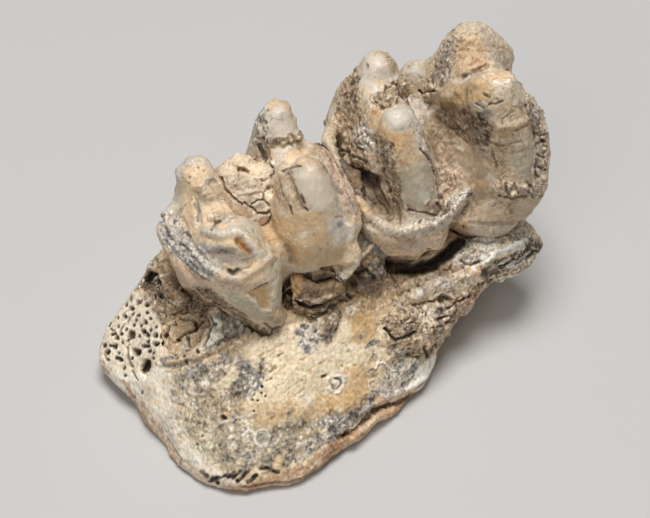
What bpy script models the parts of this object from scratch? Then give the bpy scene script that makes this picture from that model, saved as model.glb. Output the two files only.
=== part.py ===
# Jaw fragment of a dwarf hippo with two molars, and the hardened sediment between them.
# Frame: +X runs back along the tooth row, +Z is up, the broken underside rests on Z = 0, and the near
# side, with the broad outer wall, faces -Y. Lengths in this file are millimetres, made metres by MM.

import math

import bmesh
import bpy
from mathutils import Matrix, Vector, noise

MM = 0.001
# Clearance left between pieces that touch.
GAP = 0.42

# The jaw is skinned over level lines that run from front to rear. Each point is x, y, z. They go round
# the section from the near foot, up the outer wall, over the tooth row and down the far wall.
JAW_LINES = {
    "near foot": ((-27.1, 3.2, 2.6), (-25.4, -5.4, 0.6), (-24.3, -12.4, 0.0), (-22.4, -15.9, 0.0),
                  (-19.6, -17.8, 0.0), (-16.0, -18.9, 0.0), (-12.0, -18.7, 0.0), (0.0, -15.5, 0.0),
                  (8.6, -11.0, 0.0), (15.6, -7.0, 0.4), (20.0, -5.6, 2.6), (25.6, -6.4, 7.8)),
    "near lip": ((-27.1, 2.9, 3.0), (-25.4, -6.2, 1.5), (-24.3, -13.2, 1.4), (-22.4, -16.7, 1.6),
                 (-19.6, -18.7, 1.8), (-16.0, -19.8, 2.0), (-12.0, -19.6, 2.0), (0.0, -16.4, 1.8),
                 (5.4, -14.4, 1.8), (11.6, -12.6, 5.4), (19.6, -11.0, 7.9), (25.6, -7.4, 8.4)),
    "near waist": ((-27.1, 3.0, 3.4), (-25.4, -4.4, 3.4), (-22.4, -12.4, 5.0), (-16.0, -15.4, 7.6),
                   (-12.0, -15.2, 8.0), (0.0, -13.4, 8.0), (8.6, -12.0, 8.4), (19.6, -11.0, 10.4),
                   (25.6, -7.7, 9.1)),
    "near margin": ((-27.1, 3.3, 3.7), (-25.4, -1.6, 4.9), (-22.4, -6.0, 8.3), (-19.6, -8.4, 10.8),
                    (-16.0, -9.6, 12.8), (-12.0, -9.8, 13.8), (0.0, -9.2, 14.0), (8.6, -9.2, 13.7),
                    (15.6, -10.3, 12.9), (19.6, -9.9, 12.6), (25.6, -7.2, 9.6)),
    "near shoulder": ((-27.1, 3.7, 3.9), (-25.4, 0.6, 5.5), (-22.4, -2.4, 8.9), (-19.6, -4.4, 11.4),
                      (-16.0, -5.8, 13.8), (-12.0, -6.2, 15.0), (0.0, -6.4, 15.2), (15.6, -7.0, 15.0),
                      (23.2, -6.4, 12.8), (25.6, -5.4, 10.0)),
    "crest": ((-27.1, 4.2, 4.0), (-25.4, 3.2, 5.7), (-22.4, 2.0, 9.0), (-19.6, 1.6, 11.6),
              (-16.0, 1.0, 14.4), (-12.0, 1.0, 15.4), (0.0, 1.0, 16.0), (15.6, 1.0, 15.6),
              (23.2, 0.8, 13.4), (25.6, -1.0, 11.0)),
    "far shoulder": ((-27.1, 4.7, 3.9), (-25.4, 5.4, 5.5), (-22.4, 5.6, 8.8), (-19.6, 6.0, 11.4),
                     (-16.0, 6.4, 14.0), (-12.0, 7.0, 15.2), (0.0, 7.2, 15.8), (15.6, 6.8, 15.4),
                     (23.2, 5.8, 13.4), (25.6, 2.8, 11.6)),
    "far margin": ((-27.1, 5.2, 3.7), (-25.4, 6.9, 5.2), (-22.4, 7.8, 8.2), (-19.6, 8.6, 10.8),
                   (-16.0, 9.6, 13.0), (-12.0, 10.6, 14.0), (0.0, 11.4, 14.4), (15.6, 10.4, 14.0),
                   (23.2, 8.8, 12.4), (25.6, 4.4, 11.2)),
    "far waist": ((-27.1, 5.6, 3.3), (-25.4, 8.0, 4.0), (-22.4, 9.6, 5.6), (-16.0, 11.8, 7.4),
                  (0.0, 12.8, 7.8), (15.6, 11.2, 7.6), (23.2, 9.2, 9.2), (25.6, 4.8, 10.0)),
    "far lip": ((-27.1, 5.7, 2.9), (-25.4, 8.3, 2.4), (-22.4, 10.2, 2.6), (-16.0, 12.4, 3.0),
                (0.0, 13.0, 3.0), (15.6, 10.8, 3.2), (23.2, 8.4, 6.6), (25.6, 4.2, 8.8)),
    "far foot": ((-27.1, 5.4, 2.6), (-25.4, 7.9, 0.6), (-24.3, 8.8, 0.0), (-16.0, 11.6, 0.0),
                 (0.0, 12.2, 0.0), (11.6, 10.6, 0.0), (15.6, 9.8, 0.4), (20.0, 8.4, 2.6),
                 (25.6, 3.2, 7.8)),
}
JAW_FRONT_X = -27.1
JAW_REAR_X = 25.6
JAW_SECTIONS = 70
# The rear end is broken off obliquely: past this station each millimetre toward the far side moves
# the break forward, by up to the share given at the very end.
BREAK_START_X = 13.0
BREAK_HINGE_Y = -8.0
BREAK_SKEW = 0.2
# Where the jaw rests, its skin runs on below Z = 0 by this much before it is cut level.
BELOW_REST = 2.0

# Each lobe of a tooth is a stack of level ellipses in millimetres: x, y, z, half-length and half-width.
FRONT_LOBES = {
    "near front": (
        (-11.8, -7.6, 12.2, 1.6, 1.5), (-12.0, -7.3, 14.8, 2.3, 2.2), (-12.8, -6.2, 17.4, 3.6, 3.5),
        (-13.4, -5.2, 20.0, 4.7, 4.7), (-13.8, -4.7, 22.8, 4.9, 5.0), (-13.8, -4.6, 25.2, 4.0, 4.2),
        (-13.8, -4.8, 26.6, 2.6, 2.8)),
    "far front": (
        (-14.0, 6.6, 10.0, 2.2, 2.0), (-13.8, 6.0, 15.0, 3.4, 3.3), (-13.7, 5.2, 19.0, 4.0, 4.5),
        (-13.6, 4.9, 22.5, 3.2, 4.2), (-13.7, 4.9, 25.4, 2.7, 3.5), (-13.7, 5.0, 27.4, 2.3, 2.6),
        (-13.5, 5.0, 28.4, 1.8, 1.9)),
    "near rear": (
        (-4.4, -3.6, 12.0, 2.0, 1.8), (-4.4, -3.8, 16.0, 2.8, 2.4), (-4.5, -4.2, 19.0, 3.9, 3.6),
        (-4.6, -4.6, 21.4, 4.9, 4.7), (-4.8, -4.6, 25.0, 4.5, 4.9), (-4.8, -4.8, 29.0, 3.3, 3.8),
        (-4.7, -5.0, 31.6, 2.4, 2.6), (-4.6, -5.0, 32.8, 1.7, 1.8)),
    "far rear": (
        (-4.0, 6.4, 10.0, 2.2, 2.0), (-4.0, 5.6, 15.0, 3.4, 3.3), (-4.0, 5.0, 19.0, 4.4, 4.6),
        (-3.9, 4.8, 23.0, 3.9, 4.6), (-3.7, 4.8, 27.4, 2.9, 3.6), (-3.6, 4.9, 30.8, 2.3, 2.6),
        (-3.4, 5.0, 32.7, 1.7, 1.8)),
    "front bridge": ((-14.0, 1.2, 12.0, 3.2, 4.4), (-14.2, 1.2, 16.4, 3.9, 4.8),
                     (-14.2, 0.2, 20.0, 4.5, 6.2), (-14.2, 0.2, 23.5, 3.8, 6.0),
                     (-14.2, 0.2, 25.8, 2.6, 4.2)),
    "rear bridge": ((-4.2, 0.4, 14.0, 3.0, 4.4), (-4.2, 0.2, 19.0, 4.5, 6.0), (-4.3, 0.2, 25.0, 3.6, 5.4),
                    (-4.3, 0.2, 28.4, 2.4, 4.0)),
    "valley": ((-9.2, 0.0, 15.6, 3.6, 4.6), (-9.2, 0.0, 18.0, 5.6, 6.4), (-9.2, -0.4, 21.2, 5.6, 6.4),
               (-9.2, -0.6, 22.6, 3.8, 5.0)),
}
FRONT_RIMS = {
    "mesial ridge": ((-15.8, 7.2, 21.2, 0.8), (-18.2, 4.6, 22.8, 0.9), (-19.2, 1.4, 22.6, 1.0),
                     (-18.8, -2.8, 21.6, 1.1), (-17.4, -6.0, 20.0, 1.1), (-14.8, -8.2, 17.8, 0.9)),
    "distal ridge": ((-1.0, 5.2, 26.6, 0.8), (-0.2, 2.4, 27.4, 0.9), (-0.4, -1.2, 28.9, 1.0),
                     (-0.4, -5.4, 26.9, 1.1), (-0.2, -7.8, 23.8, 1.0), (-1.0, -9.0, 20.8, 1.0),
                     (-2.8, -9.2, 18.8, 0.9)),
}

REAR_LOBES = {
    "near front": (
        (7.0, -4.0, 10.0, 2.2, 2.0), (7.6, -3.8, 14.0, 3.2, 2.8), (7.6, -4.4, 17.6, 4.4, 3.8),
        (8.2, -5.2, 22.0, 3.8, 4.0), (7.9, -5.5, 26.0, 3.1, 3.4), (7.3, -5.3, 30.0, 3.0, 3.0),
        (6.8, -4.7, 33.2, 2.7, 2.5), (6.6, -4.5, 34.9, 1.9, 1.8)),
    "far front": (
        (7.2, 6.4, 10.0, 2.4, 2.2), (7.2, 5.8, 14.4, 3.6, 3.4), (7.6, 5.2, 18.0, 5.0, 5.0),
        (8.0, 5.0, 22.0, 5.2, 5.2), (8.4, 5.0, 26.0, 4.8, 4.8), (8.7, 5.1, 30.0, 4.1, 4.1),
        (8.9, 5.1, 33.0, 2.9, 3.0), (9.1, 5.0, 34.8, 1.8, 1.9)),
    "near rear": (
        (19.0, -4.4, 10.0, 2.6, 2.2), (18.8, -4.4, 13.6, 4.0, 3.4), (19.0, -4.8, 16.8, 5.6, 4.7),
        (20.0, -4.8, 21.0, 5.1, 5.1), (20.5, -4.9, 25.0, 4.2, 4.6), (20.1, -4.9, 29.6, 3.9, 3.9),
        (19.0, -4.8, 33.0, 3.6, 2.9), (18.9, -4.7, 35.3, 2.6, 1.8)),
    "far rear": (
        (20.0, 6.0, 10.0, 2.6, 2.2), (20.0, 5.4, 13.6, 4.0, 3.6), (20.2, 5.0, 18.0, 5.6, 5.2),
        (20.4, 5.0, 23.0, 5.6, 5.0), (21.2, 5.0, 28.0, 5.7, 4.4), (21.3, 4.8, 31.4, 4.7, 3.6),
        (20.9, 4.4, 33.8, 3.6, 2.7), (20.8, 4.2, 35.0, 2.4, 1.8)),
    "front bridge": ((7.4, 0.2, 13.0, 3.2, 4.4), (7.6, 0.0, 20.0, 4.9, 6.4), (7.8, 0.0, 26.0, 4.4, 5.8),
                     (7.9, 0.0, 30.4, 3.2, 4.8), (8.0, 0.0, 32.2, 2.2, 3.6)),
    "rear bridge": ((20.2, 0.2, 12.4, 3.6, 4.6), (19.8, 0.0, 20.0, 5.6, 6.4), (19.7, 0.0, 27.0, 4.9, 5.8),
                    (19.7, 0.0, 31.6, 3.6, 4.4), (19.7, 0.0, 33.2, 2.4, 3.2)),
    "valley": ((13.4, 0.4, 14.6, 4.0, 5.0), (13.4, 0.6, 18.4, 5.6, 6.8), (13.6, 1.0, 22.4, 5.0, 6.4),
               (13.8, 1.4, 24.8, 3.4, 5.0)),
    "far pillar": ((15.0, 8.2, 17.0, 2.6, 2.0), (15.2, 8.4, 21.0, 3.2, 2.4), (15.6, 8.2, 26.0, 2.7, 2.2),
                   (15.9, 8.0, 28.8, 1.5, 1.4)),
}
REAR_RIMS = {
    "near collar": ((-0.2, -4.4, 26.2, 1.1), (0.9, -6.4, 24.4, 1.4), (2.8, -7.8, 22.4, 1.6),
                    (5.6, -8.4, 21.2, 1.7), (9.2, -8.0, 21.0, 1.7), (12.4, -6.8, 21.8, 1.5),
                    (14.2, -6.0, 22.8, 1.2)),
    "collar base": ((2.2, -6.2, 21.0, 1.6), (4.2, -7.6, 19.7, 1.9), (8.0, -7.8, 19.2, 2.0),
                    (11.6, -6.6, 20.0, 1.8)),
    "mesial ridge": ((-0.2, -4.4, 26.2, 1.0), (0.6, -1.0, 27.4, 1.0), (1.6, 2.4, 28.0, 1.0),
                     (4.2, 5.2, 27.4, 0.9)),
    "distal ridge": ((23.0, 5.6, 30.0, 0.9), (24.6, 2.0, 28.4, 1.0), (24.6, -2.6, 27.8, 1.1),
                     (25.3, -4.6, 24.4, 1.2), (25.4, -5.2, 20.6, 1.3), (24.4, -6.4, 17.4, 1.2),
                     (21.0, -8.0, 16.9, 1.2), (16.0, -8.4, 17.8, 1.1), (13.4, -7.4, 19.4, 1.1)),
}

# The hardened sediment, as stacks of the same kind: each lump fills what its neighbours leave free.
VALLEY_LUMP = {
    "block": ((-9.2, 0.8, 20.0, 4.0, 5.4), (-9.2, 0.9, 24.0, 4.2, 5.0), (-9.0, 1.5, 26.8, 4.2, 4.0),
              (-8.9, 1.8, 27.8, 3.2, 3.4)),
    "toe": ((-8.6, -2.8, 21.6, 1.6, 1.5), (-8.6, -2.6, 24.0, 1.8, 1.6), (-8.4, -2.4, 25.0, 1.2, 1.1)),
}
INTERDENTAL_LUMP = {
    "near mass": ((1.2, -6.6, 13.6, 2.4, 2.4), (1.2, -7.2, 16.6, 2.3, 2.3), (1.3, -7.2, 19.4, 2.0, 1.9),
                  (1.3, -6.6, 21.6, 1.4, 1.4)),
    "low crumb": ((0.2, -8.4, 14.4, 1.6, 1.2), (0.3, -8.3, 16.4, 1.3, 1.1)),
    "middle": ((1.4, -1.6, 14.4, 2.4, 5.2), (1.4, -1.6, 20.0, 2.2, 5.0), (1.2, -1.2, 25.0, 1.9, 4.4)),
    "far mass": ((1.2, 4.6, 14.4, 2.6, 3.6), (1.3, 4.6, 20.0, 2.4, 3.2), (1.4, 3.4, 25.0, 1.8, 2.4)),
}
ROOT_GAP_LUMP = {
    "slab": ((-4.6, -7.0, 13.6, 3.8, 2.2), (-4.8, -7.4, 16.4, 3.7, 2.1), (-4.6, -7.0, 18.8, 3.2, 1.5)),
    "toe": ((-6.6, -8.6, 12.8, 1.7, 1.5), (-6.6, -8.8, 14.4, 1.6, 1.4), (-6.6, -8.6, 15.4, 1.0, 0.9)),
}
SOCKET_LUMP = {
    "fill": ((-18.6, -1.9, 5.6, 1.7, 1.8), (-18.6, -1.9, 8.6, 2.5, 2.4), (-18.5, -1.9, 10.6, 2.5, 2.3)),
}
# Each lump with the place in the noise from which it is roughened.
LUMPS = {
    "valley_matrix": (VALLEY_LUMP, 5.3),
    "interdental_matrix": (INTERDENTAL_LUMP, 8.1),
    "root_gap_matrix": (ROOT_GAP_LUMP, 2.7),
    "socket_matrix": (SOCKET_LUMP, 6.4),
}

# The empty root socket, as a stack, and the holes: x, y, z of the mouth, radius and depth.
SOCKET = ((-18.6, -1.9, 5.0, 1.9, 2.0), (-18.6, -1.9, 8.4, 2.9, 2.8), (-18.5, -1.9, 14.0, 3.1, 3.0))
HOLES = ((-19.0, 7.0, 11.0, 1.15, 4.0), (-23.8, -1.5, 7.2, 0.75, 2.4), (-24.0, 0.5, 6.8, 0.5, 1.8),
         (-18.8, 4.4, 11.0, 0.6, 2.0), (10.6, -9.2, 12.4, 0.7, 2.0))

CUSP_SIDES = 18
TRIANGLES = {"jaw_bone": 4300, "front_molar": 1800, "rear_molar": 2100, "valley_matrix": 320,
             "interdental_matrix": 520, "root_gap_matrix": 260, "socket_matrix": 280}


def move_to(obj, collection):
    for other in obj.users_collection:
        other.objects.unlink(obj)
    collection.objects.link(obj)
    return obj


def keep(obj, material, collection):
    """Gives a piece of the model its material and its collection."""
    obj.data.materials.clear()
    obj.data.materials.append(material)
    return move_to(obj, collection)


def finish(name, colour, roughness):
    """A plain Principled finish in the part's colour."""
    material = bpy.data.materials.new(name)
    material.use_nodes = True
    shader = material.node_tree.nodes["Principled BSDF"]
    shader.inputs["Base Color"].default_value = (*colour, 1.0)
    shader.inputs["Roughness"].default_value = roughness
    return material


def new_collection(name, hidden=False):
    collection = bpy.data.collections.new(name)
    bpy.context.scene.collection.children.link(collection)
    collection.hide_render = hidden
    return collection


def mesh_object(name, bm):
    """Turns a bmesh into an object at the origin."""
    mesh = bpy.data.meshes.new(name)
    bmesh.ops.recalc_face_normals(bm, faces=bm.faces)
    bm.to_mesh(mesh)
    bm.free()
    obj = bpy.data.objects.new(name, mesh)
    bpy.context.scene.collection.objects.link(obj)
    return obj


def catmull(points, t):
    """The point at parameter t of a smooth curve through a list of tuples."""
    i = min(int(t), len(points) - 2)
    u = t - i
    p1, p2 = points[i], points[i + 1]
    p0 = points[i - 1] if i > 0 else tuple(2 * a - b for a, b in zip(p1, p2))
    p3 = points[i + 2] if i + 2 < len(points) else tuple(2 * b - a for a, b in zip(p1, p2))
    return tuple(
        0.5 * (2 * b + (c - a) * u + (2 * a - 5 * b + 4 * c - d) * u**2 + (3 * b - a - 3 * c + d) * u**3)
        for a, b, c, d in zip(p0, p1, p2, p3))


def loft(bm, rings):
    """Skins closed rings of equal length and caps both ends."""
    loops = [[bm.verts.new(Vector(p) * MM) for p in ring] for ring in rings]
    for a, b in zip(loops, loops[1:]):
        for i in range(len(a)):
            j = (i + 1) % len(a)
            bm.faces.new((a[i], a[j], b[j], b[i]))
    bm.faces.new(loops[0][::-1])
    bm.faces.new(loops[-1])


def add_stack(bm, levels, steps=3):
    """Adds a closed lobe through level ellipses, with a domed top."""
    rings = []
    for n in range((len(levels) - 1) * steps + 1):
        x, y, z, a, b = catmull(levels, n / steps)
        rings.append((x, y, z, a, b))
    x, y, z, a, b = rings[-1]
    crown = 0.55 * min(a, b)
    rings += [(x, y, z + crown * math.sin(t), a * math.cos(t), b * math.cos(t)) for t in (0.5, 0.95, 1.3)]
    turns = [2 * math.pi * k / CUSP_SIDES for k in range(CUSP_SIDES)]
    loft(bm, [[(x + a * math.cos(t), y + b * math.sin(t), z) for t in turns] for x, y, z, a, b in rings])


def add_rim(bm, path):
    """Adds balls in a row along a path of x, y, z and radius, for a rim or a ridge."""
    spans = len(path) - 1
    for n in range(spans * 6 + 1):
        x, y, z, r = catmull(path, n / 6)
        made = bmesh.ops.create_icosphere(bm, subdivisions=2, radius=r * MM)
        bmesh.ops.translate(bm, verts=made["verts"], vec=Vector((x, y, z)) * MM)


def fuse(obj, voxel, smooth, faces):
    """Fuses overlapping shells into one skin and thins it to about this many triangles."""
    remesh = obj.modifiers.new("fuse", "REMESH")
    remesh.mode = "VOXEL"
    remesh.voxel_size = voxel * MM
    soften = obj.modifiers.new("soften", "SMOOTH")
    soften.factor = 0.5
    soften.iterations = smooth
    apply_modifiers(obj)
    thin = obj.modifiers.new("thin", "DECIMATE")
    thin.ratio = min(1.0, faces / triangle_count(obj))
    thin.use_collapse_triangulate = True
    apply_modifiers(obj)
    return obj


def triangle_count(obj):
    obj.data.calc_loop_triangles()
    return len(obj.data.loop_triangles)


def apply_modifiers(obj):
    """Replaces the mesh by its evaluated form."""
    graph = bpy.context.evaluated_depsgraph_get()
    mesh = bpy.data.meshes.new_from_object(obj.evaluated_get(graph))
    obj.modifiers.clear()
    obj.data = mesh


def roughen(obj, coarse, fine, seed):
    """Pushes the skin in and out along its normals by two sizes of noise, in millimetres."""
    shift = Vector((seed, seed * 0.7, seed * 1.3))
    moves = []
    for vert in obj.data.vertices:
        at = vert.co / MM
        moves.append(coarse * noise.noise(at / 4.0 + shift) + fine * noise.noise(at / 1.4 - shift))
    for vert, move, normal in zip(obj.data.vertices, moves, [v.normal.copy() for v in obj.data.vertices]):
        vert.co += normal * move * MM


def as_cutter(obj, cutters):
    """Files an object with the cutters, which aren't part of the model."""
    obj.hide_render = True
    obj.display_type = "WIRE"
    return move_to(obj, cutters)


def inflated(obj, cutters):
    """A copy of a neighbour, larger by the gap on every side, that cuts what it touches."""
    cutter = bpy.data.objects.new(obj.name + "_cutter", obj.data.copy())
    bpy.context.scene.collection.objects.link(cutter)
    for vert, normal in zip(cutter.data.vertices, [v.normal.copy() for v in obj.data.vertices]):
        vert.co += normal * GAP * MM
    return as_cutter(cutter, cutters)


def socket_cutter(cutters):
    bm = bmesh.new()
    add_stack(bm, SOCKET)
    return as_cutter(mesh_object("socket_cutter", bm), cutters)


def hole_cutters(cutters):
    """Rounded drills, each of which enters from above and reaches its depth below its mouth."""
    made = []
    for n, (x, y, z, radius, depth) in enumerate(HOLES):
        bm = bmesh.new()
        add_stack(bm, ((x, y, z - depth, radius * 0.4, radius * 0.4),
                       (x, y, z - depth * 0.7, radius * 0.9, radius * 0.85),
                       (x, y, z, radius, radius),
                       (x, y, z + 3.0, radius * 1.1, radius * 1.1)), steps=1)
        made.append(as_cutter(mesh_object(f"hole_cutter_{n}", bm), cutters))
    return made


def cut(obj, cutters, voxel):
    """Takes the cutters out of the object, keeps the largest piece left and thins its skin."""
    for cutter in cutters:
        boolean = obj.modifiers.new("cut", "BOOLEAN")
        boolean.operation = "DIFFERENCE"
        boolean.solver = "EXACT"
        boolean.use_self = True
        boolean.object = cutter
    apply_modifiers(obj)
    keep_largest(obj)
    fuse(obj, voxel, 0, TRIANGLES[obj.name])
    keep_largest(obj)


def keep_largest(obj):
    bm = bmesh.new()
    bm.from_mesh(obj.data)
    unseen = set(bm.verts)
    islands = []
    while unseen:
        todo = [unseen.pop()]
        island = list(todo)
        while todo:
            for edge in todo.pop().link_edges:
                for vert in edge.verts:
                    if vert in unseen:
                        unseen.discard(vert)
                        island.append(vert)
                        todo.append(vert)
        islands.append(island)
    islands.sort(key=len)
    bmesh.ops.delete(bm, geom=[v for island in islands[:-1] for v in island], context="VERTS")
    bm.to_mesh(obj.data)
    bm.free()


def flatten_underside(obj):
    """Cuts the mesh level at Z = 0 and closes it there."""
    bm = bmesh.new()
    bm.from_mesh(obj.data)
    bmesh.ops.bisect_plane(bm, geom=bm.verts[:] + bm.edges[:] + bm.faces[:], dist=1e-7,
                           plane_co=(0, 0, 0), plane_no=(0, 0, 1), clear_inner=True)
    rim = [edge for edge in bm.edges if edge.is_boundary]
    bmesh.ops.contextual_create(bm, geom=rim)
    bmesh.ops.triangulate(bm, faces=bm.faces)
    bmesh.ops.recalc_face_normals(bm, faces=bm.faces)
    bm.to_mesh(obj.data)
    bm.free()


def molar(name, lobes, rims):
    bm = bmesh.new()
    for levels in lobes.values():
        add_stack(bm, levels)
    for path in rims.values():
        add_rim(bm, path)
    tooth = mesh_object(name, bm)
    return fuse(tooth, 0.4, 2, TRIANGLES[name])


def on_line(line, x):
    """The y and z of a line at station x, by cubic pieces whose slopes come from the neighbours."""
    i = max(k for k in range(len(line) - 1) if k == 0 or line[k][0] <= x)
    (xa, *a), (xb, *b) = line[i], line[i + 1]
    (xp, *p), (xn, *n) = line[max(i - 1, 0)], line[min(i + 2, len(line) - 1)]
    span = xb - xa
    t = (x - xa) / span
    found = []
    for va, vb, vp, vn in zip(a, b, p, n):
        slope_a = (vb - vp) / (xb - xp) * span
        slope_b = (vn - va) / (xn - xa) * span
        found.append(va * (2 * t**3 - 3 * t**2 + 1) + vb * (3 * t**2 - 2 * t**3)
                     + slope_a * (t**3 - 2 * t**2 + t) + slope_b * (t**3 - t**2))
    return tuple(found)


def jaw_section(x):
    """The closed outline of the jaw at station x."""
    profile = [on_line(line, x) for line in JAW_LINES.values()]
    outline = [catmull(profile, m / 3) for m in range((len(profile) - 1) * 3 + 1)]
    (far_y, far_z), (near_y, near_z) = outline[-1], outline[0]
    drop = BELOW_REST if far_z < 0.3 else 0.3
    far_y, near_y = far_y - 0.6, near_y + 0.6
    belly = (0.0, 0.25, 0.5, 0.75, 1.0)
    outline += [(far_y + (near_y - far_y) * t, far_z + (near_z - far_z) * t - drop) for t in belly]
    skew = BREAK_SKEW * max(0.0, (x - BREAK_START_X) / (JAW_REAR_X - BREAK_START_X))
    return [(x - skew * (y - BREAK_HINGE_Y), y, z) for y, z in outline]


def jaw_bone():
    """Skins the jaw over its sections and roughens it."""
    bm = bmesh.new()
    step = (JAW_REAR_X - JAW_FRONT_X) / (JAW_SECTIONS - 1)
    loft(bm, [jaw_section(JAW_FRONT_X + step * n) for n in range(JAW_SECTIONS)])
    jaw = mesh_object("jaw_bone", bm)
    fuse(jaw, 0.5, 1, 30000)
    roughen(jaw, 0.5, 0.25, 3.1)
    return jaw


def lump(name, stacks, seed):
    """A lump of hardened sediment, rough and a little angular."""
    bm = bmesh.new()
    for levels in stacks.values():
        add_stack(bm, levels)
    rock = mesh_object(name, bm)
    fuse(rock, 0.3, 1, 6000)
    roughen(rock, 0.5, 0.4, seed)
    return rock


def centre_on_rest(objects):
    """Moves the meshes so that the origin is the middle of the bounding box, at its bottom."""
    points = [vert.co for obj in objects for vert in obj.data.vertices]
    low = Vector(min(p[i] for p in points) for i in range(3))
    high = Vector(max(p[i] for p in points) for i in range(3))
    shift = Vector(((low.x + high.x) / 2, (low.y + high.y) / 2, low.z))
    for obj in objects:
        obj.data.transform(Matrix.Translation(-shift))


def main():
    for obj in list(bpy.data.objects):
        bpy.data.objects.remove(obj)
    fossil = new_collection("jaw_fragment")
    cutters = new_collection("cutters", hidden=True)
    bone = finish("fossil bone", (0.72, 0.58, 0.40), 0.8)
    enamel = finish("fossil enamel", (0.70, 0.62, 0.50), 0.45)
    sediment = finish("hardened sediment", (0.42, 0.35, 0.27), 0.9)

    front = keep(molar("front_molar", FRONT_LOBES, FRONT_RIMS), enamel, fossil)
    rear = keep(molar("rear_molar", REAR_LOBES, REAR_RIMS), enamel, fossil)
    teeth = [inflated(front, cutters), inflated(rear, cutters)]
    cut(rear, teeth[:1], 0.35)

    jaw = keep(jaw_bone(), bone, fossil)
    cut(jaw, teeth + [socket_cutter(cutters)] + hole_cutters(cutters), 0.35)
    flatten_underside(jaw)

    solids = teeth + [inflated(jaw, cutters)]
    for name, (stacks, seed) in LUMPS.items():
        rock = keep(lump(name, stacks, seed), sediment, fossil)
        cut(rock, solids, 0.22)
        solids.append(inflated(rock, cutters))
    centre_on_rest(list(fossil.objects))


main()
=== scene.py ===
# The finished look of a dwarf hippo's jaw fragment with two molars: its skins, camera, floor and lights.
# Lengths are in metres in the settings and in millimetres elsewhere, in the frame of the solids: +X runs
# back along the tooth row, +Z is up and the broad wall faces -Y. A place on a skin is named by where the
# camera sees it, in pixels of the picture, x and y in turn.

import itertools
import math
from collections import namedtuple
from functools import partial

import bmesh
import bpy
import numpy as np
from bpy.props import FloatProperty, FloatVectorProperty, PointerProperty
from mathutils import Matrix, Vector
from mathutils.bvhtree import BVHTree


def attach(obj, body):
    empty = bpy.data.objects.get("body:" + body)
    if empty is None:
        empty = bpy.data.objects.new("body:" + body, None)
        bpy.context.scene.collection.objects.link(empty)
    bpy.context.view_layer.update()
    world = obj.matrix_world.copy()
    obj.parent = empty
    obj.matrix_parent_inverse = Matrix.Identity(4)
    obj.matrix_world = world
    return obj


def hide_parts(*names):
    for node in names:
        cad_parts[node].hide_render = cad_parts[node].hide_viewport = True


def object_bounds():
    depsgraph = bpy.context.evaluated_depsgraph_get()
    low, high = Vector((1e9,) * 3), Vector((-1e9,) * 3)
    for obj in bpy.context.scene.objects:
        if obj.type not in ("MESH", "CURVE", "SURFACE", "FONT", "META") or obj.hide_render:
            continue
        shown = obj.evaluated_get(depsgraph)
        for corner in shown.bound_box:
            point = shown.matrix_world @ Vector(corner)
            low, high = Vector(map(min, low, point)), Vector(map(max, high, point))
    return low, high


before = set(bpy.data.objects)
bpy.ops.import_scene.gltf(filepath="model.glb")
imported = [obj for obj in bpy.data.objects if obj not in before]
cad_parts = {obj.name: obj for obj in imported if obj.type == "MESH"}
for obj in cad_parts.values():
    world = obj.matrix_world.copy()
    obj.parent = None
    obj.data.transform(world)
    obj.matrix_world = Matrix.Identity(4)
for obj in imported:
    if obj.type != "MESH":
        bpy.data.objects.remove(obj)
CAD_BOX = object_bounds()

bl_info = {
    "name": "Fossil jaw fragment",
    "version": (1, 0, 0),
    "blender": (4, 5, 0),
    "location": "3D View > Sidebar > Fossil",
    "description": "Finishes a fossil jaw fragment with two molars and sets up its studio",
    "category": "Object",
}

MM = 0.001
PICTURE = (650, 518)
SENSOR_MM = 36.0
# How far the edges of marks wander, in pixels, and over what length.
WOBBLE = 1.2
WOBBLE_LENGTH = 0.9
# The size of a pixel of the picture at the fossil.
MM_PER_PIXEL = 0.116
# A line of sight starts this far off a skin, so that it misses the solid below the skin.
SIGHT_GAP = 0.9
# A face turned further from the camera than this, as a cosine, is never seen.
TURNED_AWAY = -0.12
# Hollows deeper than this get as much painted shade as any.
DEEP_HOLLOW = 0.1
MERGE_METRES = 1e-6
FLOOR_HALF_METRES = 1.5
FAR = 1e9
TINY = 1e-9
# Large odd numbers that mix the bits of the noise.
CELL_KEYS = (73856093, 19349663, 83492791)
TURNS = (0x9E3779B9, 0x85EBCA6B, 0xC2B2AE35)


def linear(colour):
    """A screen colour from 0 to 1 as the light it stands for."""
    c = np.asarray(colour, dtype=float)
    return np.where(c <= 0.04045, c / 12.92, ((c + 0.055) / 1.055) ** 2.4)


def smoothstep(low, high, value):
    """0 below low, 1 above high and a smooth rise between them."""
    t = np.clip((value - low) / (high - low), 0.0, 1.0)
    return t * t * (3.0 - 2.0 * t)


def colour(name, description, red, green, blue):
    """A colour setting, from the 0 to 255 values that it has on a screen."""
    default = tuple(float(c) for c in linear((red / 255, green / 255, blue / 255)))
    return FloatVectorProperty(name=name, description=description, subtype="COLOR", size=3, min=0.0,
                               max=1.0, default=default)


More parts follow.
